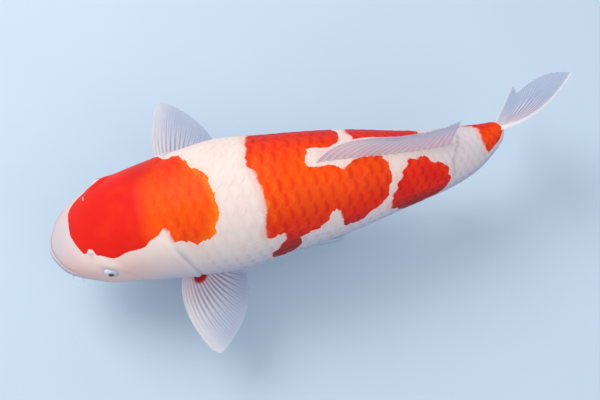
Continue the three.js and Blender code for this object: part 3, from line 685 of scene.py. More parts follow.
def skin_relief(shape, at, angle, points, normals, coat_depth):
    """Height of the skin over the bare body, the painted shade in its creases, pits and folds, and how far
    its white turns to the grey of the painted shade colour.

    Below the scales it lies a coat's depth down. The mouth is a slit between two rounded lips along a
    sloping plane; the gill cover ends in a raised rim and a step; the orbits are balls blended into the
    head, with sockets that dip under the eyeballs; the nostrils are pairs of pits; a shallow groove marks
    the cheek. Sizes are in millimetres until the end, and places along the head are back from the snout and
    up from the spine."""
    origin, _, _ = shape.frame(np.array([0.0]))
    x, z = ((points[..., i] - origin[0, i]) / MM for i in (0, 2))
    arc, size = shape.girth_arc(at, angle) / MM, np.abs(angle)
    covered = smoothstep(-0.004, 0.014, at - scale_start(angle))
    height = -0.2 - (coat_depth / MM - 0.2) * covered

    slope = np.radians(MOUTH["slope"])
    off_slit = (z - MOUTH["height"]) * np.cos(slope) + x * np.sin(slope)
    along_slit = 1 - smoothstep(MOUTH["corner"] - 8, MOUTH["corner"], x)
    height += along_slit * (1.5 * bell(np.abs(off_slit) - 3.1, 2.0) - 2.4 * bell(off_slit, 0.95))
    # painted shade darkens the slit of the mouth
    crease_shade = along_slit * 0.85 * bell(off_slit, 0.9)
    slope = np.radians(LIP_FOLD["slope"])
    off_fold = (z - LIP_FOLD["height"]) * np.cos(slope) - x * np.sin(slope)
    along_fold = 1 - smoothstep(LIP_FOLD["end"] - 14, LIP_FOLD["end"], x)
    height += along_fold * (1.0 * bell(off_fold + 3.2, 2.6) - 1.1 * bell(off_fold, 1.2))
    # painted shade in the groove of the lip fold; below the groove the white turns to the painted shade
    # colour
    crease_shade += along_fold * 0.4 * bell(off_fold, 1.0)
    shade_tint = along_fold * 0.8 * (1 - smoothstep(-1.5, 0, off_fold))
    # a fold runs back from the corner of the mouth
    fold = bell(off_slit + 1.5 - 0.12 * (x - 30), 1.6) * plateau(26, 33, 40, 60, x)
    height -= 0.9 * fold
    # painted shade along the fold from the corner of the mouth
    crease_shade += 0.22 * fold

    across = (x - GILL_COVER["x"]) / GILL_COVER["half_length"]
    rise = (z - GILL_COVER["height"]) / GILL_COVER["half_height"]
    beyond = (np.hypot(across, rise) - 1) * GILL_COVER["half_length"]
    rear = smoothstep(0.1, 0.4, across) * plateau(38, 60, 150, 165, size)
    rim = 1.6 * plateau(-18, -3, -1.5, 1.5, beyond) + 0.5 * bell(beyond - 8, 3)
    step = 1.0 * bell(beyond - 2.6, 2.2) + 0.5 * bell(beyond + 7, 1.5)
    height += rear * (rim - step)
    # painted shade along the gill cover's edge and at a step inside it; behind the rim the white turns to the
    # painted shade colour as a painted shadow band
    crease_shade += rear * (0.24 * bell(beyond - 1.8, 1.5) + 0.06 * bell(beyond + 7, 1.2))
    shade_tint += 0.75 * rear * bell(beyond - 4, 5.5)
    # rear edge of the cheek plate, an oval
    cheek = (np.hypot((x - 78) / 40, (z + 30) / 50) - 1) * 40
    plate = bell(cheek, 2.2) * smoothstep(84, 100, x) * (1 - smoothstep(135, 160, size))
    height -= 0.55 * plate
    # painted shade along the rear edge of the cheek plate
    crease_shade += 0.07 * plate
    # membrane folds under the throat
    height -= 0.7 * bell(size - 158, 3.5) * plateau(40, 60, 150, 175, x)

    for side in SIDES.values():
        own_side = np.sign(-side * angle) > 0
        middle, gaze = eye_place(shape, side)
        # the skin rises along its normal to the ball of the orbit
        orbit = middle - EYE["orbit_depth"] * MM * np.array([0, side, 0.5])
        offset = points + normals * (height * MM)[..., None] - orbit
        toward = np.sum(offset * normals, -1)
        reach = toward ** 2 - np.sum(offset ** 2, -1) + (EYE["orbit_radius"] * MM) ** 2
        lift = (np.sqrt(np.maximum(reach, 0)) - toward) / MM
        lift = np.where((reach > 0) & (lift > 0) & (lift < 12), lift, 0)
        # a swelling flows from it into the head, the brow swells over the eye, and the socket dips under
        # the ball
        forward, up = eye_axes(gaze)
        ahead, over = (np.sum((points - middle) * direction, -1) / MM for direction in (forward, up))
        radial = np.hypot(ahead, over)
        lift = np.where(own_side, lift + 1.1 * bell(radial - 15, 5.5), 0)
        brow = np.where(own_side, bell(np.hypot((ahead + 3) / 11, (over - 10) / 6), 1), 0)
        socket = np.where(own_side, 1 - smoothstep(6.6, 8.2, radial), 0)
        height += (lift + 2.6 * brow) * (1 - socket) - 4.5 * socket
        # painted shade in the socket under the eyeball
        crease_shade += 0.5 * socket
        # round the eye and under the brow the white loses its pink and turns partly to the painted shade
        # colour
        rims = 0.5 * bell(radial - 10, 3.5) + 0.3 * bell(radial - 9, 3.5) * smoothstep(2, -4, over)
        shade_tint += np.where(own_side, 0.8 * brow + rims, 0)

        offset = (points - shape.point(NOSTRIL["at"], -side * NOSTRIL["angle"])) / MM
        ahead, sideways = offset[..., 0], np.linalg.norm(offset[..., 1:], axis=-1)
        pits = bell(np.hypot((ahead - 2.6) / 1.3, sideways / 2.1), 1)
        pits += 0.7 * bell(np.hypot(ahead + 2.4, sideways / 1.7), 1)
        height += 0.55 * bell(np.hypot(ahead / 1.2, sideways) - 4.0, 1.1) - 2.0 * pits
        # painted shade in the nostril pits
        crease_shade += 0.75 * pits
    # the dorsal fin stands in a shallow trough, and the crown of the head has a broad dimple
    first, last = DORSAL["first"], DORSAL["last"]
    height -= 0.5 * bell(np.abs(arc) - 2.6, 1.8) * plateau(first - 0.02, first, last, last + 0.015, at)
    height -= 0.8 * bell(arc, 10) * bell(at - 0.2, 0.02)
    return height * MM, np.clip(crease_shade, 0, 1), np.clip(shade_tint, 0, 1)


def build_skin(scene):
    """Closed skin over the whole body: rings crowd towards the snout, each ring is a section raised by the
    relief, and the last rings draw in round the end of the spine."""
    body, shape = scene.koi_body, KoiShape(scene.koi_body)
    share = np.linspace(0, 1, body.rings + 1)[1:]
    rings = np.interp(share, [0, 0.07, 0.52, 1], [0.0, np.sqrt(0.014), np.sqrt(0.3), 1]) ** 2
    angles = np.arange(body.around) * 360 / body.around
    angles = np.where(angles > 180, angles - 360, angles)
    at, angle = np.meshgrid(rings, angles, indexing="ij")
    points, normals = shape.point(at, angle), shape.normal(at, angle)
    height, crease_shade, shade_tint = skin_relief(shape, at, angle, points, normals, body.coat_depth)
    points = points + normals * height[..., None]
    # the tail end closes as a half oval over its last few millimetres
    spine, _, _ = shape.frame(rings)
    spine[:, 2] += 0.005 * body.length
    closing = np.sqrt(np.clip(1 - ((rings - 0.988) / 0.0122) ** 2 * (rings > 0.988), 0, 1))
    points = spine[:, None] + (points - spine[:, None]) * closing[:, None, None]
    points = np.concatenate([points.reshape(-1, 3), [shape.point(0.0, 0.0), spine[-1]]])

    layers = marking_layers(shape, at, angle)
    # painted shade: creases darken, and the shade colour comes in and the pink goes where the relief's tint
    # says
    layers["crease_shade"] = np.maximum(layers["crease_shade"], crease_shade)
    layers["shade"] = np.maximum(layers["shade"], 0.6 * shade_tint)
    layers["blush"] = layers["blush"] * (1 - shade_tint)
    layers.pop("front")
    flat = {key: np.append(value, value.flat[[0, -1]]) for key, value in layers.items()}
    skin = mesh_piece("koi_skin", points, ring_faces(len(rings), len(angles)), flat)
    finish(skin, koi_hide_material("Wet koi hide", scene.koi_colours, False), "skin", *FLESH)


def scale_template():
    """One scale on a unit square, root at 0 and free edge at 1 along, and -1 to 1 across.

    The top is a grid of seven by six points. The underside keeps only the top's outline: a quad strip from
    root to edge, whose end faces take in the outline's end points, and a rim joins the two. Returns along,
    across, whether underneath, the faces, and each face corner's place in the scale's patch of the baking
    map."""
    rows, columns = 7, 6
    p, q = np.meshgrid(np.linspace(0, 1, rows), np.linspace(-1, 1, columns), indexing="ij")
    number = np.arange(rows * columns).reshape(rows, columns)
    loop = np.concatenate([number[0, :], number[1:, -1], number[-1, -2::-1], number[-2:0:-1, 0]]).tolist()
    under = {top: rows * columns + i for i, top in enumerate(loop)}
    along, across = (np.concatenate([values.ravel(), values.ravel()[loop]]) for values in (p, q))
    below = np.arange(len(along)) >= rows * columns
    # a patch is 3 units wide: top and underside side by side, and the rim as a strip past them
    place = np.stack([0.1 + 1.3 * along, 0.2 + 0.65 * (across + 1)], -1)
    faces = grid_quads(rows, columns).tolist()
    patch = [place[face] for face in faces]
    for i in range(rows - 1):
        strip = [under[c] for c in number[[i, i + 1], 0].tolist()]
        strip += [under[c] for c in number[-1, 1:-1].tolist()] if i == rows - 2 else []
        strip += [under[c] for c in number[[i + 1, i], -1].tolist()]
        strip += [under[c] for c in number[0, -2:0:-1].tolist()] if i == 0 else []
        faces.append(strip[::-1])
        patch.append(place[strip[::-1]] + [1.45, 0.0])
    for i, (top, following) in enumerate(zip(loop, loop[1:] + loop[:1])):
        faces.append([following, top, under[top], under[following]])
        round_rim = 0.2 + 2.4 * np.array([i + 1, i, i, i + 1]) / len(loop)
        patch.append(np.stack([round_rim, [1.75, 1.75, 2.1, 2.1]], -1))
    # on the body these faces point inwards, so each one is turned about its first corner
    faces = [face[:1] + face[:0:-1] for face in faces]
    patch = np.concatenate([np.concatenate([corners[:1], corners[:0:-1]]) for corners in patch])
    return along, across, below, faces, patch


def scale_roots(shape, settings):
    """Place, row and pitch of every scale. Rows run along the body at a spacing that narrows towards the
    tail, places step along by a pitch that shortens towards it, odd rows are set half a step back, and rows
    lean forward down the sides."""
    steps = np.linspace(0.19, 1.1, 2200)
    knots, shares = [0.19, 0.3, 0.45, 0.62, 0.8, 1.0], [0.84, 0.98, 1.0, 0.96, 0.73, 0.6]
    pitch = settings.pitch * through(knots, shares, steps)
    count = np.concatenate([[0], np.cumsum(np.diff(steps) * shape.length / ((pitch[1:] + pitch[:-1]) / 2))])
    row, step = np.meshgrid(np.arange(-17, 18), np.arange(0, int(count[-1]) + 1), indexing="ij")
    at = np.interp(step + 0.5 * (row % 2), count, steps)
    at = at - 0.16 * np.abs(row) * row_spacing(settings, at) / shape.length
    return at.ravel(), row.ravel(), np.interp(at.ravel(), steps, pitch)


def row_spacing(settings, at):
    """Distance from row to row: full on the trunk, nearly half of it by the tail."""
    knots, shares = [0.19, 0.28, 0.4, 0.55, 0.72, 0.85, 1.0], [0.78, 0.88, 1.0, 0.98, 0.77, 0.58, 0.46]
    return settings.row * through(knots, shares, at)


def build_scales(scene):
    """Overlapping scales on both sides: each is a thin rounded plate whose root is sunk in the skin and whose
    free edge rises clear of the next one, laid on the body by its own place and distance from the back."""
    body, settings, shape = scene.koi_body, scene.koi_scales, KoiShape(scene.koi_body)
    rng = np.random.default_rng(settings.seed)
    at, row, pitch = scale_roots(shape, settings)
    arc = row * row_spacing(settings, at)
    middle = at + 0.7 * pitch / shape.length
    half_girth = np.interp(at, shape.rows, shape.half_girth)
    angle = shape.angle_of(np.clip(middle, 0, 1), np.clip(arc, -half_girth, half_girth))
    keep = (np.abs(arc) < half_girth + 0.2 * settings.row) & (middle > scale_start(angle)) & (middle < 0.967)
    at, row, pitch, angle, middle = (values[keep, None] for values in (at, row, pitch, angle, middle))
    longer, wider, later, turned_by, higher = rng.normal(0, 1, (5, len(at), 1))
    young = smoothstep(0, 0.03, middle - scale_start(angle))  # the first scales are small and flat

    # outline: narrow at the root, widest before the middle and rounded at the free edge
    p, q, below, faces, patch = scale_template()
    p, q = p[None, :], q[None, :]
    length = pitch * (1.72 + 0.03 * longer) * (0.8 + 0.2 * young)
    width = row_spacing(settings, at) * (0.66 + 0.012 * wider)
    bulge = 1 - 0.32 * (1 - p) ** 2 - 0.42 * smoothstep(0.45, 1.0, p) ** 1.5
    out_along = length * p * (1 - 0.24 * q ** 2 * smoothstep(0.4, 1, p)) + 0.0004 * later
    out_across = width * q * bulge
    twist = 0.03 * turned_by
    place = np.clip(at + (out_along - twist * out_across) / shape.length, 0.001, 0.9995)
    spread = row * row_spacing(settings, place) + out_across + twist * (out_along - length / 2)
    limit = np.interp(place, shape.rows, shape.half_girth)
    crossed = np.abs(spread) > limit  # a belly scale wraps over the keel
    spread = np.where(crossed, np.sign(spread) * (2 * limit - np.abs(spread)), spread)
    turned = shape.angle_of(place, spread) * np.where(crossed, -1, 1)
    # the top climbs from root to free edge, and dips towards its sides and its lip
    rise = settings.lift * (0.25 + 0.75 * young)
    high = -0.0004 + (rise + 0.0004) * p ** 0.85 - 0.00022 * q ** 2 - 0.00016 * smoothstep(0.8, 1, p)
    high = high + 0.00005 * higher * p - np.where(below, settings.thickness * (0.5 + 0.5 * p), 0)
    points = shape.point(place, turned) + shape.normal(place, turned) * (high - body.coat_depth)[..., None]

    # the pattern is read a third of the way from each point to the middle of the scale's open part
    hold = 0.32
    centre = np.clip(at + 0.72 * length / shape.length, 0, 0.999)
    centre_angle = shape.angle_of(centre, row * row_spacing(settings, centre))
    held = np.where(crossed, turned, turned * (1 - hold) + centre_angle * hold)
    layers = marking_layers(shape, place * (1 - hold) + centre * hold, held)
    front = layers.pop("front")
    # open is 0 where the scale before ends and 1 at the free edge
    layers["side"], layers["open"] = q, (p - 0.42) / 0.58
    # the painted shadow bars are weaker on the first scales and on the shoulder, and differ from scale to
    # scale; the young layer carries their strength
    weaker = young ** 2 * (0.68 + 0.32 * smoothstep(0.33, 0.42, at))
    layers["young"] = weaker * (0.6 + 0.4 * rng.random((len(at), 1)))
    # rims, partly pale margins and partly a painted highlight on the raised free edge, are palest along the
    # rear edge of the shoulder patch
    rim = young * (0.35 + 0.65 * plateau(0.3, 0.37, 0.48, 0.55, place)) * layers["orange"]
    rim = rim * (0.3 + 0.6 * bell(layers["red"] - 2, 6) * (1 - front * 0.3))
    layers["rim"] = np.clip(rim, 0, 1)
    layers["tint"] = rng.random((len(at), 1))
    # pores of the lateral line, darkened with painted shade
    pore = 0.5 * bell(layers["open"] - 0.45, 0.2) * bell(q, 0.13)
    layers["crease_shade"] = layers["crease_shade"] + np.where(np.abs(row) == 6, pore, 0.0)

    material = koi_hide_material("Overlapping koi scales", scene.koi_colours, True)
    for name, chosen in {"left": row[:, 0] > 0, "right": row[:, 0] <= 0}.items():
        total = int(chosen.sum())
        numbers = (np.concatenate(faces) + np.arange(total)[:, None] * p.size).ravel().tolist()
        ends = np.cumsum([len(face) for face in faces] * total).tolist()
        all_faces = [numbers[a:b] for a, b in zip([0] + ends[:-1], ends)]
        flat = {key: np.broadcast_to(value, place.shape)[chosen].ravel() for key, value in layers.items()}
        corners = points[chosen].reshape(-1, 3)
        piece = mesh_piece(f"koi_scales_{name}", corners, all_faces, flat, sharp_angle=50)
        # baking map: the skin unrolled by place and angle, each scale a patch at its root
        root = np.stack([at[chosen], 0.5 + angle[chosen] / 360], -1)
        bake = root * 0.98 + 0.005 + patch[None] * 0.001
        piece.data.uv_layers.new(name="OFBake").data.foreach_set("uv", bake.astype(np.float32).ravel())
        finish(piece, material, "skin")


# ---- Head furniture -----------------------------------------------------------------------------


def eye_material(name, colours, eyes):
    """Fish eye: a black pupil in a silvery iris with a fine gold ring, under a clear wet cornea that gives
    one hard highlight."""
    material, node = new_material(name)
    polar = node("Attribute", output="Fac", attribute_name="polar")
    # the rings waver by flecks of the iris, about 0.7 mm across
    flecks = node("TexNoise", {"Vector": node("TexCoord", output="Object"), "Scale": 1400.0, "Detail": 2.0})
    waver = node("MapRange", {"Value": flecks, "To Min": -0.06, "To Max": 0.06})
    ring = node("Math", {0: polar, 1: waver}, operation="ADD")
    colour = node("ValToRGB", {"Fac": node("MapRange", {"Value": ring, "From Max": float(np.pi / 2)})})
    ramp = colour.node.color_ramp
    pupil, iris = eyes.pupil / (np.pi / 2), eyes.iris / (np.pi / 2)
    stops = [(0.0, linear("#050506")), (pupil - 0.02, linear("#07080a")), (pupil + 0.015, linear("#b89a5e")),
             (pupil + 0.06, linear("#aebfca")), (iris - 0.05, colours.iris), (iris, linear("#5e6c7a")),
             (min(iris + 0.1, 1), linear("#dfe3e8"))]
    for position, _ in stops[1:-1]:
        ramp.elements.new(position)
    for element, (position, tone) in zip(ramp.elements, stops):
        element.position, element.color = position, (*tone, 1)
    shader = node("BsdfPrincipled", {
        "Base Color": colour, "Roughness": 0.25, "Coat Weight": 1.0, "Coat Roughness": 0.03, "IOR": 1.38})
    node("OutputMaterial", {"Surface": shader})
    return material


def soft_skin_material(name, colour, vein):
    """Thick pale skin of lids, nostril flaps and feelers: wet, slightly pink, with a faint mottle about 4
    mm across."""
    return mottled_material(name, (colour, vein), 260.0, 4.0, bump=(0.1, 0.0003), shader={
        "Roughness": 0.34, "IOR": 1.38, "Subsurface Weight": 0.15, "Subsurface Radius": (1.0, 0.5, 0.35),
        "Subsurface Scale": 0.002, "Coat Weight": 0.3, "Coat Roughness": 0.15})


def eye_axes(gaze):
    """Two directions square to the gaze: forward along the head, and up."""
    forward = unit(np.cross(np.cross(gaze, [-1.0, 0, 0]), gaze))
    up = np.cross(forward, gaze)
    return forward, up * np.sign(up[2])


def build_eyes(scene):
    """Eyeballs are spheres with a slight corneal dome, turned about the gaze. A lid is a band of shell over
    the ball, round the gaze, whose front edge comes nearer to the gaze above than below."""
    shape, eyes = KoiShape(scene.koi_body), scene.koi_eyes
    eye = eye_material("Fish eye under cornea", scene.koi_colours, eyes)
    lid = soft_skin_material("Lid skin", linear("#ebe8ea"), linear("#d3d3dd"))
    for name, side in SIDES.items():
        middle, gaze = eye_place(shape, side)
        forward, up = eye_axes(gaze)

        def around_gaze(distance, polar, turn):
            """Points at a distance from the eye's middle and an angle off the gaze, turned round the gaze."""
            direction = np.cos(turn)[..., None] * forward + np.sin(turn)[..., None] * up
            out, ahead = distance * np.sin(polar), distance * np.cos(polar)
            return middle + out[..., None] * direction + ahead[..., None] * gaze

        rings, sides, dome = 64, 72, 0.0005
        polar = np.linspace(0, np.pi, rings + 2)[1:-1, None]
        points = around_gaze(eyes.radius + dome * bell(polar, 0.55), polar, circle(sides)[None])
        poles = [middle + gaze * (eyes.radius + dome), middle - gaze * eyes.radius]
        layers = {"polar": np.concatenate([np.repeat(polar, sides), [0, np.pi]])}
        points = np.concatenate([points.reshape(-1, 3), poles])
        ball = mesh_piece(f"eyeball_{name}", points, ring_faces(rings, sides), layers)
        finish(ball, eye, "eye", f"eye_{name}")

        sides, minor_sides = 96, 20
        turn, minor = circle(sides)[:, None], circle(minor_sides)[None]
        above = (1 + np.sin(turn)) / 2
        front, rear = np.radians(62 - 28 * above ** 1.5), np.radians(102)
        polar = (front + rear) / 2 + (rear - front) / 2 * np.cos(minor)
        points = around_gaze(0.00865 + 0.0007 * np.sin(minor), polar, turn).reshape(-1, 3)
        faces = grid_quads(sides, minor_sides, rows_join=True, columns_join=True).tolist()
        finish(mesh_piece(f"eyelid_{name}", points, faces), lid, "skin")


def build_nostrils(scene):
    """Each nostril's flap is an oval tongue that stands on the head and leans back: an ellipsoid whose top is
    carried aft by the square of its height."""
    shape = KoiShape(scene.koi_body)
    flap = soft_skin_material("Nostril skin", linear("#f4e8e2"), linear("#e4cfcb"))
    rings, sides = 24, 36
    half, lean = NOSTRIL["flap_up"], NOSTRIL["flap_lean"]
    for name, side in SIDES.items():
        at, angle = NOSTRIL["at"], -side * NOSTRIL["angle"]
        root, normal = shape.point(at, angle), shape.normal(at, angle)
        aft = unit(shape.point(at + 0.01, angle) - shape.point(at - 0.01, angle))
        across = np.cross(normal, aft)
        polar, around = np.linspace(0, np.pi, rings + 2)[1:-1, None], circle(sides)[None]
        up = half * np.cos(polar)
        back = NOSTRIL["flap_back"] * np.sin(polar) * np.cos(around) + lean * np.maximum(up, 0) ** 2
        wide = NOSTRIL["flap_wide"] * np.sin(polar) * np.sin(around)
        points = root + MM * (back[..., None] * aft + wide[..., None] * across + up[..., None] * normal)
        poles = [root + MM * (half * normal + lean * half ** 2 * aft), root - MM * half * normal]
        points = np.concatenate([points.reshape(-1, 3), poles])
        finish(mesh_piece(f"nostril_flap_{name}", points, ring_faces(rings, sides)), flap, "skin")


def build_barbels(scene):
    """A feeler is a round tube along a quadratic curve: its radius shrinks steadily and closes over the
    tip."""
    shape = KoiShape(scene.koi_body)
    skin = soft_skin_material("Barbel skin", linear("#fbf7f7"), linear("#efe4ea"))
    rings, sides = 40, 20
    s, turn = np.linspace(0, 1, rings)[:, None], circle(sides)[None, :, None]
    taper = (1 - 0.6 * s[:, 0]) * np.sqrt(np.clip(1 - (s[:, 0] / 1.002) ** 24, 0, 1))
    for kind, barbel in BARBELS.items():
        for name, side in SIDES.items():
            _, aft, right = (row[0] for row in shape.frame(np.array([barbel["at"]])))
            root = shape.point(barbel["at"], -side * barbel["angle"], -0.004)
            out = right * side * barbel["out"]
            bow = root + MM * (out + aft * 3 - UP * barbel["down"] * 0.3)
            tip = root + MM * (out + aft * barbel["aft"] - UP * barbel["down"])
            path = curve_points(root, bow, tip, s)
            heading = unit(np.gradient(path, axis=0))
            across = unit(np.cross(heading, [0.3, 0.2, 1.0]))
            ring = np.cos(turn) * across[:, None] + np.sin(turn) * np.cross(heading, across)[:, None]
            points = path[:, None] + (barbel["radius"] * MM * taper)[:, None, None] * ring
            points = np.concatenate([points.reshape(-1, 3), [root, tip]])
            piece = mesh_piece(f"feeler_{kind}_{name}", points, ring_faces(rings, sides))
            finish(piece, skin, "barbel", f"barbel_{kind}_{name}")


# ---- Fins ---------------------------------------------------------------------------------------


def fin_material(name, colours, fins):
    """Fin: bony white rays in a thin web, with light scattered through both. The rays are satin and nearly
    opaque. The web is mauve near the root, and clearer by the margin, where it is painted pale blue for the
    blue water light seen through it. Blood gives the root a pink flush."""
    material, node = new_material(name)
    ray, out, pink, cream, spot = (node("Attribute", output="Fac", attribute_name=key)
                                   for key in ("ray", "out", "pink", "cream", "spot"))
    # mottle about 11 mm across, which pales a fifth of the web
    mottle = node("TexNoise", {"Vector": node("TexCoord", output="Object"), "Scale": 90.0, "Detail": 5.0})
    pale = node("Math", {0: mottle, 1: 0.2, 2: cream}, operation="MULTIPLY_ADD", use_clamp=True)
    margin = node("MapRange", {"Value": out, "From Min": 0.25, "From Max": 0.8}, **SMOOTH)
    # painted light: towards the margin the web turns pale blue, the blue of water light seen through it
    base = node("Mix", {0: margin, 6: colours.gap, 7: colours.web}, **COLOUR)
    for share, tone in ((pale, colours.ray), (ray, colours.ray), (pink, colours.flush), (spot, SPOT)):
        base = node("Mix", {0: share, 6: base, 7: tone}, **COLOUR)
    clear_web = {"Value": out, "From Min": 0.25, "From Max": 0.95, "To Min": 1.0, "To Max": fins.web}
    shown = node("Math", {0: ray, 1: 0.75}, operation="MULTIPLY")
    alpha = node("Math", {0: node("MapRange", clear_web, **SMOOTH), 1: shown}, operation="MAXIMUM")
    bump = node("Bump", {"Height": mottle, "Strength": 0.15, "Distance": 0.0004})
    shader = node("BsdfPrincipled", {
        "Base Color": base, "Roughness": 0.4, "Alpha": alpha, "Normal": bump, "IOR": 1.38,
        "Subsurface Weight": 0.5, "Subsurface Radius": (1.0, 0.75, 0.85), "Subsurface Scale": 0.004,
        "Coat Weight": 0.15, "Coat Roughness": 0.2})
    node("OutputMaterial", {"Surface": shader})
    return material


def fan_rays(fan, k):
    """Each column of a fin's table at the ray shares k, in millimetres or degrees."""
    rays = {}
    for key, values in fan.items():
        if isinstance(values, tuple) and len(values) == len(fan["ray"]) and key != "ray":
            columns = np.array(values, float).reshape(len(values), -1)
            rays[key] = np.stack([through(fan["ray"], column, k) for column in columns.T], -1)
    return rays


def curve_points(start, bow, end, t):
    """Points at the shares t along a quadratic curve that leaves its start towards the bow and ends at its
    end."""
    return (1 - t) ** 2 * start + 2 * t * (1 - t) * bow + t ** 2 * end


def fin_piece(name, curves, k, settings, look, cream=None, spot=None):
    """Closed thin sheet over a fan of quadratic curves, one for each share k from the first ray to the
    last.

    Each point is lifted to both faces by half the thickness, which falls from root to margin and rises over
    each ray as a bell. Past the fork each ray is two bells that part. The margin is cut back between the
    rays. Cream and spot give how pale and how red the fin is, by share of the fan and share of the ray."""
    root, bow, tip = (points[:, None] for points in curves)
    s = np.linspace(0, 1, look["steps"])[None, :]
    k = k[:, None]
    phase = k * look["rays"]
    off = np.abs(phase - np.round(phase))
    fork, second = 0.25 * smoothstep(look["fork"], 0.85, s), 0.12 * smoothstep(0.7, 1.0, s)
    ridge = bell(np.abs(off - fork) - second, look["breadth"] * (1 - 0.5 * smoothstep(0.1, 1, s)))
    cut = look["notch"] * (1 - np.cos(2 * np.pi * off)) / 2 + look["ragged"] * (1 + ripple(phase * 2.3, 0, 8))
    t = s * (1 - cut)
    grid = curve_points(root, bow, tip, t[..., None])
    normal = unit(np.cross(np.gradient(grid, axis=1), np.gradient(grid, axis=0)))
    pleat = look["pleat"] * MM * np.cos(2 * np.pi * off) * smoothstep(0.05, 0.6, s)
    grid = grid + normal * pleat[..., None]
    # a fin thickens into its root, thins at the margin, and is stiffest along its leading ray
    half = (settings.root * (1 - t) + settings.margin * t) * (0.42 + 0.58 * ridge) + 0.0012 * bell(t, 0.1)
    half = half * (1 - 0.6 * smoothstep(0.97, 1, s))
    half = half + look["lead"] * MM * bell(k - look["lead_at"], 0.035) * (1 - 0.5 * s)
    points = np.stack([grid + normal * half[..., None], grid - normal * half[..., None]]).reshape(-1, 3)
    front = grid_quads(*t.shape)
    number = np.arange(t.size).reshape(t.shape)
    edge = np.concatenate([number[0], number[1:, -1], number[-1, -2::-1], number[-2:0:-1, 0]])
    following = np.roll(edge, -1)
    rim = np.stack([following, edge, edge + t.size, following + t.size], -1)
    faces = np.concatenate([front, front[:, ::-1] + t.size, rim]).tolist()

    seen = (ridge * (1 - look["even"]) + 0.7 * look["even"]) * (1 - 0.65 * smoothstep(look["fade"], 0.95, t))
    flush = look["pink"] * (1 - smoothstep(0.0, look["flush_end"], t))
    layers = {
        "ray": np.clip(seen + bell(k - look["lead_at"], look["lead_width"]), 0, 1),
        "out": 1 - (1 - look["thin"]) * (1 - t),
        "cream": np.clip(cream(k, t), 0, 1) if cream else 0,
        "pink": flush * (0.4 + 0.6 * (1 - ridge)),
        "spot": spot(k, t) if spot else 0,
    }
    layers = {key: np.tile(np.broadcast_to(value, t.shape).ravel(), 2) for key, value in layers.items()}
    return mesh_piece(name, points, faces, layers, sharp_angle=60)


def pectoral_curves(shape, name, k):
    """Rays of a pectoral fin in a nearly level plane through its hub, lifted, swept and spread for its
    side."""
    side, pose, fan = SIDES[name], PECTORAL[name], fan_rays(PECTORAL, k)
    hub_x, hub_side, hub_height = PECTORAL["hub"]
    lift = np.radians(pose["lift"])
    origin, _, _ = shape.frame(np.array([0.0]))

    def place(x, out):
        level = hub_height + (out - hub_side) * np.sin(lift)
        across = hub_side + (out - hub_side) * np.cos(lift)
        return origin + MM * np.stack([x, side * across, level], -1)

    def ray_end(x, out, reach, degrees):
        turn = np.radians(degrees * pose["spread"] + pose["sweep"])
        return place(x + reach * np.sin(turn), out + reach * np.cos(turn))

    (front_x, front_side), (rear_x, rear_side) = PECTORAL["root_front"], PECTORAL["root_rear"]
    root_x, root_side = front_x + (rear_x - front_x) * k, front_side + (rear_side - front_side) * k
    reach, angle, start = (fan[key][:, 0] for key in ("reach", "angle", "start"))
    return (place(root_x, root_side), ray_end(root_x, root_side, reach / 2, start),
            ray_end(hub_x, hub_side, reach, angle))


def dorsal_curves(shape, k):
    """Rays of the dorsal fin from the crest of the back, each leaning towards the tail and over to the
    right."""
    at = DORSAL["first"] + (DORSAL["last"] - DORSAL["first"]) * k
    fan = fan_rays(DORSAL, k)
    _, aft, right = shape.frame(at)
    crest = shape.point(at, 0.0)
    bow, tip = (crest + MM * (aft * fan[key][:, :1] + right * fan[key][:, 1:2] + UP * fan[key][:, 2:])
                for key in ("bow", "tip"))
    return crest - UP * DORSAL["sunk"] * MM, bow, tip


def caudal_curves(shape, level):
    """Rays of the tail fin by level, 1 at its upper edge and -1 at its lower, about the end of the spine."""
    fan = fan_rays(CAUDAL, level)
    start, _, _ = shape.frame(np.full_like(level, CAUDAL["root"]))
    end, _, _ = shape.frame(np.ones_like(level))
    height = CAUDAL["root_height"] + CAUDAL["sunk_half_height"] * level
    root = start + MM * height[:, None] * UP

    def towards(degrees, reach, rise):
        turn = np.radians(degrees)
        return MM * np.stack([reach * np.cos(turn), reach * np.sin(turn), rise], -1)

    heading, reach, rise, first = (fan[key][:, 0] for key in ("heading", "reach", "height", "start"))
    bow = root + towards(first, reach * 0.55, (rise - height) * 0.55)
    return root, bow, end + towards(heading, reach, rise)


def pelvic_curves(shape, name, k):
    """Rays of a pelvic fin, folded back under the belly."""
    side, fan = SIDES[name], fan_rays(PELVIC, k)
    at = PELVIC["first"] + (PELVIC["last"] - PELVIC["first"]) * k
    angle = PELVIC["outer_angle"] + (PELVIC["inner_angle"] - PELVIC["outer_angle"]) * k
    _, aft, right = shape.frame(at)
    skin = shape.point(at, -side * angle)
    aft_by, out_by, down_by = (fan["tip"][:, i:i + 1] for i in range(3))
    bow = skin + MM * (aft * aft_by * 0.4 + right * side * out_by * 0.6 - UP * down_by * 0.85)
    tip = skin + MM * (aft * aft_by + right * side * out_by - UP * down_by)
    return shape.point(at, -side * angle, -0.005), bow, tip


def anal_curves(shape, k):
    """Rays of the anal fin, folded back under the tail."""
    at = ANAL["first"] + (ANAL["last"] - ANAL["first"]) * k
    fan = fan_rays(ANAL, k)
    _, aft, right = shape.frame(at)
    keel = shape.point(at, 180.0)
    aft_by, right_by, down_by = (fan["tip"][:, i:i + 1] for i in range(3))
    bow = keel + MM * (aft * aft_by * 0.4 + right * right_by * 0.3 - UP * down_by * 0.6)
    return keel + UP * ANAL["sunk"] * MM, bow, keel + MM * (aft * aft_by + right * right_by - UP * down_by)


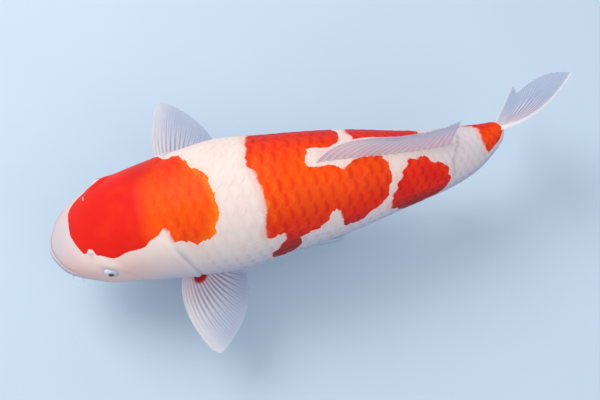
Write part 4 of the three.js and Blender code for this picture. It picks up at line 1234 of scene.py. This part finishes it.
def build_fins(scene):
    """Paired and single fins, each from its own fan of rays. The tail fin's lobes part at its middle ray."""
    shape, settings = KoiShape(scene.koi_body), scene.koi_fins
    material = fin_material("Fin rays in thin web", scene.koi_colours, settings)

    def add_fin(name, curves, **extra):
        look = {**FIN_LOOK, **FIN_LOOKS[name.split("_")[0]], "lead_at": extra.pop("lead_at", 0)}
        k = np.linspace(0, 1, look["rays"] * look["points"] + 1)
        finish(fin_piece(name, curves(k), k, settings, look, **extra), material, "fin_web", f"fin_{name}")

    def base_spot(k, t):
        return 1 - smoothstep(0.75, 1.1, np.hypot((k - 0.53) / 0.21, (t - 0.19) / 0.1))

    def pale_front(k, t):
        return 0.55 * (1 - smoothstep(0.1, 0.4, k)) + 0.25 * (1 - smoothstep(0.15, 0.5, t))

    def pale_root(k, t):
        return 0.5 * (1 - smoothstep(0.05, 0.4, k)) + 0.85 * (1 - smoothstep(0.1, 0.65, t))

    for side in SIDES:
        add_fin(f"pectoral_{side}", partial(pectoral_curves, shape, side), cream=pale_front,
                spot=base_spot if side == "left" else None)
        add_fin(f"pelvic_{side}", partial(pelvic_curves, shape, side))
    add_fin("dorsal", partial(dorsal_curves, shape), cream=pale_root)
    # each lobe stops a thousandth of its height short of the middle ray
    add_fin("caudal_upper", lambda k: caudal_curves(shape, 0.001 + 0.999 * k), lead_at=1)
    add_fin("caudal_lower", lambda k: caudal_curves(shape, -1 + 0.999 * k))
    add_fin("anal", partial(anal_curves, shape))


# ---- Stand --------------------------------------------------------------------------------------


def lacquer_material(name, colours):
    """Pale lacquered wood, rubbed to a satin: an even cool grey under a thin clear coat. Grain about 3 mm
    wide runs along it and shows faintly through the coats."""
    return mottled_material(
        name, (colours.lacquer, linear("#a9b8c7")), 36.0, 4.0, stretch=(1.0, 9.0, 9.0), rough=(0.28, 0.42),
        bump=(0.05, 0.0004), shader={"IOR": 1.5, "Coat Weight": 0.7, "Coat Roughness": 0.12})


def steel_material(name, colours):
    """Stainless steel rod, brushed round its length: fine rings about 0.3 mm apart that spread the lights
    upwards."""
    return mottled_material(name, (colours.steel, linear("#8f9398")), 3000.0, 3.0, stretch=(0.05, 0.05, 1.0),
                            rough=(0.22, 0.4), bump=(0.1, 0.0001), shader={"Metallic": 1.0})


def finish_stand(scene):
    """The base and rods keep the solids' shapes and get their finishes."""
    lacquer = lacquer_material("Pale lacquered wood", scene.koi_colours)
    steel = steel_material("Brushed stainless steel", scene.koi_colours)
    for name, material in {"stand_base": lacquer, "stand_rod_front": steel, "stand_rod_rear": steel}.items():
        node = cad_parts[name]
        node.data.materials.clear()
        node.data.materials.append(material)


# ---- Stage --------------------------------------------------------------------------------------


def floor_material(name, colours):
    """Matt painted studio floor: even, with the faintest unevenness of paint, about 170 mm across."""
    return mottled_material(name, (colours.floor, linear("#c9d8e6")), 6.0, 3.0, shader={"Roughness": 0.85})


def area_light(name, place, target, power, size, colour):
    """A square soft light that points at the target."""
    data = bpy.data.lights.new(name, "AREA")
    data.energy, data.size, data.color = power, size, colour
    light = bpy.data.objects.new(name, data)
    bpy.context.scene.collection.objects.link(light)
    light.location = place
    light.rotation_euler = (Vector(target) - Vector(place)).to_track_quat("-Z", "Y").to_euler()


def build_stage(scene):
    """Pale floor, soft lights and the camera, which stands back from its target along its viewing
    direction."""
    stage = scene.koi_stage
    reach, level = 3.0, -0.0004  # just under the stand, so that the two don't share a plane
    corners = [(-reach, -reach, level), (reach, -reach, level), (reach, reach, level), (-reach, reach, level)]
    mesh = bpy.data.meshes.new("studio_floor")
    mesh.from_pydata(corners, [], [[0, 1, 2, 3]])
    floor = bpy.data.objects.new("studio_floor", mesh)
    scene.collection.objects.link(floor)
    floor.data.materials.append(floor_material("Matt studio floor", scene.koi_colours))

    target = tuple(stage.target)
    area_light("key", (-0.75, 0.85, 1.7), target, stage.key, 1.1, (1.0, 0.985, 0.96))
    area_light("fill", (0.9, -1.1, 1.5), target, stage.fill, 1.4, (0.9, 0.95, 1.0))
    world = bpy.data.worlds.new("Soft studio")
    world.use_nodes = True
    world.node_tree.nodes.clear()
    sky = add_node(world.node_tree, "Background", {"Color": linear("#eff7ff"), "Strength": 0.7})
    add_node(world.node_tree, "OutputWorld", {"Surface": sky})
    scene.world = world
    scene.view_settings.view_transform = "Standard"

    data = bpy.data.cameras.new("camera")
    data.lens, data.sensor_width = stage.lens, 36
    camera = bpy.data.objects.new("camera", data)
    scene.collection.objects.link(camera)
    level = np.cos(stage.elevation)
    away = Vector((np.sin(stage.azimuth) * level, -np.cos(stage.azimuth) * level, np.sin(stage.elevation)))
    camera.location = Vector(target) + away * stage.distance
    camera.rotation_euler = (-away).to_track_quat("-Z", "Y").to_euler()
    scene.camera = camera


# ---- Operators and panel ------------------------------------------------------------------------


class KOI_OT_skin(bpy.types.Operator):
    """Build the skin of the whole body"""
    bl_idname = "koi.skin"
    bl_label = "Skin"

    def execute(self, context):
        build_skin(context.scene)
        return {"FINISHED"}


class KOI_OT_scales(bpy.types.Operator):
    """Build the overlapping scales of both sides"""
    bl_idname = "koi.scales"
    bl_label = "Scales"

    def execute(self, context):
        build_scales(context.scene)
        return {"FINISHED"}


class KOI_OT_eyes(bpy.types.Operator):
    """Build the eyeballs and the lids round them"""
    bl_idname = "koi.eyes"
    bl_label = "Eyes"

    def execute(self, context):
        build_eyes(context.scene)
        return {"FINISHED"}


class KOI_OT_nostrils(bpy.types.Operator):
    """Build the nostril flaps"""
    bl_idname = "koi.nostrils"
    bl_label = "Nostrils"

    def execute(self, context):
        build_nostrils(context.scene)
        return {"FINISHED"}


class KOI_OT_barbels(bpy.types.Operator):
    """Build the feelers beside the mouth"""
    bl_idname = "koi.barbels"
    bl_label = "Barbels"

    def execute(self, context):
        build_barbels(context.scene)
        return {"FINISHED"}


class KOI_OT_fins(bpy.types.Operator):
    """Build all fins"""
    bl_idname = "koi.fins"
    bl_label = "Fins"

    def execute(self, context):
        build_fins(context.scene)
        return {"FINISHED"}


class KOI_OT_stand(bpy.types.Operator):
    """Give the stand its lacquer and steel"""
    bl_idname = "koi.stand"
    bl_label = "Stand finishes"

    def execute(self, context):
        finish_stand(context.scene)
        return {"FINISHED"}


class KOI_OT_stage(bpy.types.Operator):
    """Set up the floor, the lights and the camera"""
    bl_idname = "koi.stage"
    bl_label = "Stage"

    def execute(self, context):
        build_stage(context.scene)
        return {"FINISHED"}


OPERATORS = (KOI_OT_skin, KOI_OT_scales, KOI_OT_eyes, KOI_OT_nostrils, KOI_OT_barbels, KOI_OT_fins,
             KOI_OT_stand, KOI_OT_stage)


class KOI_PT_panel(bpy.types.Panel):
    """Settings and build steps of the koi"""
    bl_idname = "KOI_PT_panel"
    bl_label = "Koi"
    bl_space_type = "VIEW_3D"
    bl_region_type = "UI"
    bl_category = "Koi"

    def draw(self, context):
        for attribute, group in SETTINGS.items():
            box = self.layout.box()
            for key in group.__annotations__:
                box.prop(getattr(context.scene, attribute), key)
        for operator in OPERATORS:
            self.layout.operator(operator.bl_idname)


def register():
    for group in SETTINGS.values():
        bpy.utils.register_class(group)
    for attribute, group in SETTINGS.items():
        setattr(bpy.types.Scene, attribute, PointerProperty(type=group))
    for cls in (*OPERATORS, KOI_PT_panel):
        bpy.utils.register_class(cls)


def unregister():
    for cls in (KOI_PT_panel, *reversed(OPERATORS)):
        bpy.utils.unregister_class(cls)
    for attribute, group in SETTINGS.items():
        delattr(bpy.types.Scene, attribute)
        bpy.utils.unregister_class(group)


def main():
    register()
    bpy.ops.koi.skin()
    bpy.ops.koi.scales()
    bpy.ops.koi.eyes()
    bpy.ops.koi.nostrils()
    bpy.ops.koi.barbels()
    bpy.ops.koi.fins()
    bpy.ops.koi.stand()
    bpy.ops.koi.stage()


if __name__ == "__main__":
    main()
